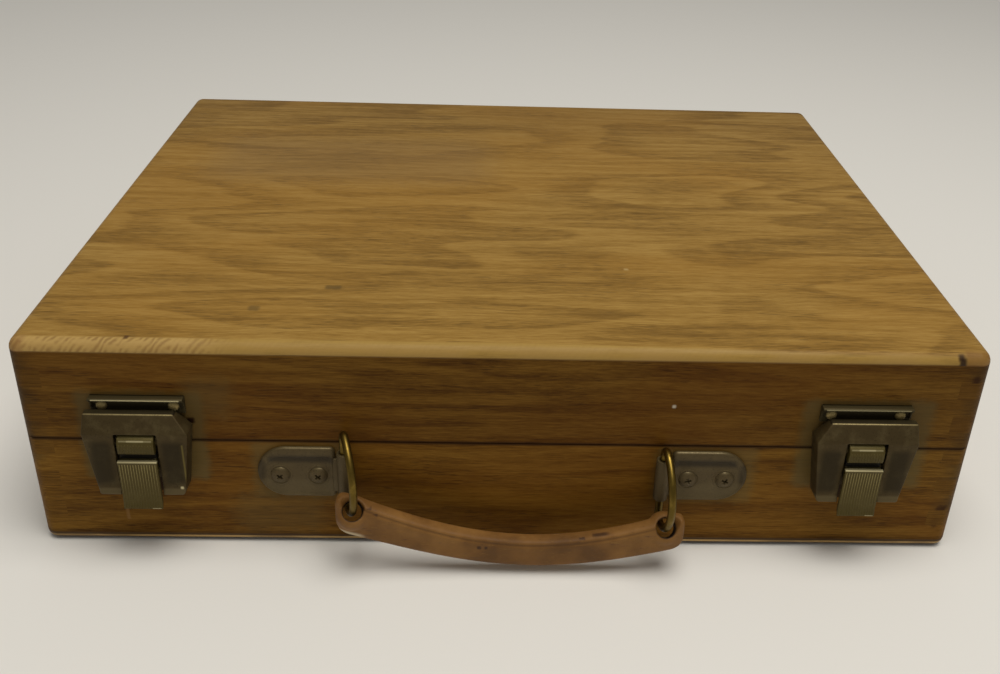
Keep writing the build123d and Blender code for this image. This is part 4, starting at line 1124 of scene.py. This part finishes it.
def arc(middle, radius, first, last, count):
    """Points (across, up) along part of a circle."""
    angles = np.linspace(first, last, count)
    return [(middle[0] + radius * math.cos(a), middle[1] + radius * math.sin(a)) for a in angles]


def ring_path(stand):
    leg = math.sqrt((bow - corner) ** 2 - corner**2)
    meet = math.atan2(leg, corner)
    plan = [(0.0, -leg + 2 * leg * i / 12) for i in range(12)]
    plan += arc((corner, leg), corner, math.pi, meet, 14)[:-1]
    plan += arc((0.0, 0.0), bow, meet, -meet, 56)
    plan += arc((corner, -leg), corner, -meet, -math.pi, 14)[1:-1]
    return [ring_point(stand, across, up) for across, up in plan]


for name, stand in ring_stands.items():
    ring = Piece(wire(ring_path(stand), wire_radius, 20))
    ring.done(f"ring_{name}_wire", f"ring_{name}", "aged_brass", ring_brass, f"handle_ring_{name}")
print("rings made")

# %% [markdown]
# ## Leather handle
# The handle is a thick strap of leather, and its rounded ends each have a hole that rides on a ring. It has
# no flat faces: the ends flow into the strap. So the strap and its two ends are made as rough overlapping
# solids, voxel remesh melts them into one skin, a cutter opens each hole, and a second remesh and some
# smoothing round everything. The cutter follows the ring's arc and widens away from the middle, as a ring
# wears the leather away where it turns. The crease below its upper edge is too fine for that, so it is
# pressed in afterwards by moving the points near a line, and the same line is stored as the attribute
# `crease`, along which the leather is darkened as painted shade.

# %% Handle
def eye_place(stand, down):
    """The middle of an eye, this many degrees down a ring's bow."""
    return ring_point(stand, bow * math.cos(math.radians(down)), -bow * math.sin(math.radians(down)))


eyes = [(stand, down, eye_place(stand, down)) for stand, down in zip(ring_stands.values(), (42.0, 50.0))]
upper_points = [(-56.5, 33.2), (-50.5, 31.2), (-41.6, 27.3), (-25.2, 19.8), (-1.0, 15.3)]
upper_points += [(16.3, 15.0), (33.6, 16.8), (46.1, 20.3), (57.0, 24.2), (62.0, 26.0)]
lower_points = [(-56.5, 17.6), (-50.4, 16.4), (-44.7, 15.0), (-40.3, 12.6), (-25.0, 8.4), (-0.9, 4.1)]
lower_points += [(16.5, 4.1), (33.7, 5.7), (46.3, 7.9), (57.7, 11.2), (62.0, 12.4)]
upper_line = np.polynomial.Polynomial.fit(*zip(*upper_points), 4)
lower_line = np.polynomial.Polynomial.fit(*zip(*lower_points), 4)
strap_back, strap_front, strap_left, strap_right = 9.7, 15.7, -56.7, 62.0


def strap_loop(x, share, count=40, square=0.36):
    """One section of the strap: a rounded box, made smaller by share towards the ends."""
    low, top = lower_line(x), upper_line(x)
    middle, half = (low + top) / 2, (top - low) / 2 * share
    depth, half_depth = (strap_back + strap_front) / 2, (strap_front - strap_back) / 2 * (0.4 + 0.6 * share)
    loop = []
    for a in turns(count):
        c, s = math.cos(a), math.sin(a)
        out = depth + half_depth * math.copysign(abs(c) ** square, c)
        loop.append(at(x, out, middle + half * math.copysign(abs(s) ** square, s)))
    return loop


def strap(steps=120, rounding=4.6):
    loops = []
    for x in np.linspace(strap_left, strap_right, steps):
        near = min(x - strap_left, strap_right - x) / rounding
        loops.append(strap_loop(float(x), 1.0 if near >= 1 else 0.55 + 0.45 * math.sqrt(1 - (1 - near) ** 2)))
    return stacked(loops)


def rough_end(down, centre, sides=48):
    """A solid turned about the line of an eye's hole; its profile is (radius, distance along the line)."""
    a = math.radians(down)
    line, across = Vector((0, -math.sin(a), math.cos(a))), Vector((1, 0, 0))
    other = line.cross(across)
    loops = []
    for r, d in ((3.0, -5.2), (4.9, -5.0), (5.6, -4.0), (5.9, -2.0), (5.6, 0.0), (4.6, 1.4), (3.0, 1.8)):
        section = [(across * math.cos(t) + other * math.sin(t)) * r + line * d for t in turns(sides)]
        loops.append([centre + point * mm for point in section])
    return stacked(loops)


def hole_radius(along):
    """A hole's radius, tight in the middle of the leather and wider towards both of its ends."""
    return 3.25 + 0.062 * np.minimum(along**2, 36)


def sideways(stand):
    """The direction square to a ring's plane."""
    lean = math.radians(stand[2])
    return Vector((math.cos(lean), math.sin(lean), 0))


def worn_hole(stand, down):
    """A tube round the ring's own arc."""
    loops = []
    for degrees in np.linspace(down - 38, down + 38, 39):
        centre = eye_place(stand, degrees)
        outward = (centre - ring_point(stand, 0, 0)).normalized()
        radius = float(hole_radius(math.radians(down - degrees) * bow))
        loops.append(circle(centre, outward, sideways(stand), radius, 40))
    return stacked(loops)


def join(name, parts):
    return add_object(name, mesh_from(Piece(*parts).bm, name))


rough = join("rough", [strap()] + [rough_end(down, centre) for _, down, centre in eyes])
cutter = join("cutter", [worn_hole(stand, down) for stand, down, _ in eyes])
modify(rough, "REMESH", mode="VOXEL", voxel_size=0.55 * mm)
modify(rough, "SMOOTH", factor=0.5, iterations=12)
modify(rough, "BOOLEAN", operation="DIFFERENCE", solver="EXACT", object=cutter)
modify(rough, "REMESH", mode="VOXEL", voxel_size=0.42 * mm)
modify(rough, "SMOOTH", factor=0.5, iterations=4)
handle_mesh = whole_mesh(rough)
bpy.data.objects.remove(cutter)
print("handle skin:", len(handle_mesh.polygons), "faces")

# %% [markdown]
# ## Leather
# Old vegetable tanned leather is dull, warm brown, a little greasy where it was held, and scratched. The
# pebbled grain is fine, about half a millimetre. Scuffs are stretched noise that shows the paler fibres
# underneath.

# %% Leather material
paint = Paint("handle_leather")
cloud = paint.noise(paint.place, 0.09, detail=3.0)
grain = paint.out("ShaderNodeTexVoronoi", {"Vector": paint.place, "Scale": 1.7}, "Distance")
scuff = paint.noise(paint.place, (0.25, 1.6, 1.6), detail=5.0, roughness=0.7)
colour = paint.lay(
    paint.ramp(cloud, (0.3, (97, 65, 28)), (0.5, (117, 80, 35)), (0.7, (132, 93, 44))),
    (scuff.step(0.56, 0.72, 0.0, 0.5), (150, 114, 64)),
    (scuff.step(0.40, 0.30, 0.0, 0.55), (62, 38, 20)),
    # painted shade along the crease
    (paint.attribute("crease").step(0.25, 0.9, 0.0, 0.3), (66, 40, 16)),
    (paint.attribute("raw") * 0.85, (196, 180, 148)),
)
nicks = (
    ((2.1, -138.8, 16.9), (0.15, 1.6, 1.1), 0.6), ((-8.2, -139.5, 12.4), (0.3, 1.0, 0.3), 0.7),
    ((-5.8, -139.5, 12.3), (0.2, 1.0, 0.3), 0.6), ((36.0, -137.6, 16.9), (5.0, 0.3, 0.2), 0.9),
    ((27.0, -138.6, 16.0), (0.7, 0.5, 0.2), 0.6), ((-46.0, -138.2, 27.6), (1.2, 0.5, 0.3), 0.6),
    ((-44.2, -138.6, 25.6), (1.4, 0.5, 0.3), 0.6), ((-42.6, -138.8, 23.6), (0.8, 0.4, 0.3), 0.5),
)
colour = add_marks(paint, colour, [((50, 28, 12), *values, 0.9, 0.8) for values in nicks])
# painted shade inside each hole
colour = paint.lay(colour, (paint.attribute("hole"), (20, 9, 5)))
relief = grain * 0.5 + scuff * 0.5
handle_leather = paint.finish(colour, scuff.step(0.3, 0.7, 0.5, 0.72), relief, 0.3, 0.15, 0.25)

# %% [markdown]
# ## What the leather reads
# Three attributes say where the handle is creased, raw or inside a hole; the crease and the holes get painted
# shade. They are worked out here for all points at once, from the same lines, rings and hole sizes that shaped
# the handle.

# %% Handle's attributes
def store(name, values):
    handle_mesh.attributes.new(name, "FLOAT", "POINT").data.foreach_set("value", values)


points = np.empty(3 * len(handle_mesh.vertices))
handle_mesh.vertices.foreach_get("co", points)
points = points.reshape(-1, 3)
x, out, z = points[:, 0] / mm, front_face - points[:, 1] / mm, points[:, 2] / mm
below_edge, above = upper_line(x) - 1.5 - z, z - lower_line(x)
on_front, along_middle = np.clip((out - 13.6) / 0.8, 0, 1), np.clip((54 - np.abs(x - 2)) / 5, 0, 1)
crease = np.exp(-((below_edge / 0.45) ** 2)) * on_front * along_middle
points[:, 1] += crease * 0.28 * mm
handle_mesh.vertices.foreach_set("co", points.ravel())
store("crease", crease)
left_end = np.clip((2.6 - above) / 0.9, 0, 1) * np.clip((-46.5 - x) / 2.5, 0, 1)
store("raw", np.clip(left_end + 0.35 * np.clip((0.7 - above) / 0.5, 0, 1), 0, 1))
in_hole = np.zeros(len(points))
for stand, down, _ in eyes:
    square = np.array(sideways(stand))
    away = (points - np.array(ring_point(stand, 0, 0))) / mm
    off_plane = away @ square
    in_plane = away - np.outer(off_plane, square)
    from_wire = np.hypot(np.linalg.norm(in_plane, axis=1) - bow, off_plane)
    degrees = np.degrees(np.arctan2(-in_plane[:, 2], np.linalg.norm(in_plane[:, :2], axis=1)))
    along = np.radians(down - degrees) * bow
    near_wire = np.clip((hole_radius(along) + 0.45 - from_wire) / 0.35, 0, 1)
    in_hole = np.maximum(in_hole, near_wire * np.clip((2.6 - along) / 1.2, 0, 1))
store("hole", in_hole)
Piece(handle_mesh).done("handle_grip", "handle", "leather", handle_leather, "handle", smooth=180)
print("handle made")

# %% [markdown]
# ## The end
# The visual model has to stay inside the box of the CAD model. Both boxes are written down to be compared: the
# print gives how far the visual model reaches beyond the box of the CAD model.

# %% Finish
made_low, made_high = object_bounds()
grown = list(cad_low - made_low) + list(made_high - cad_high)
print("grown beyond the CAD box by mm", [round(v / mm, 2) for v in grown])
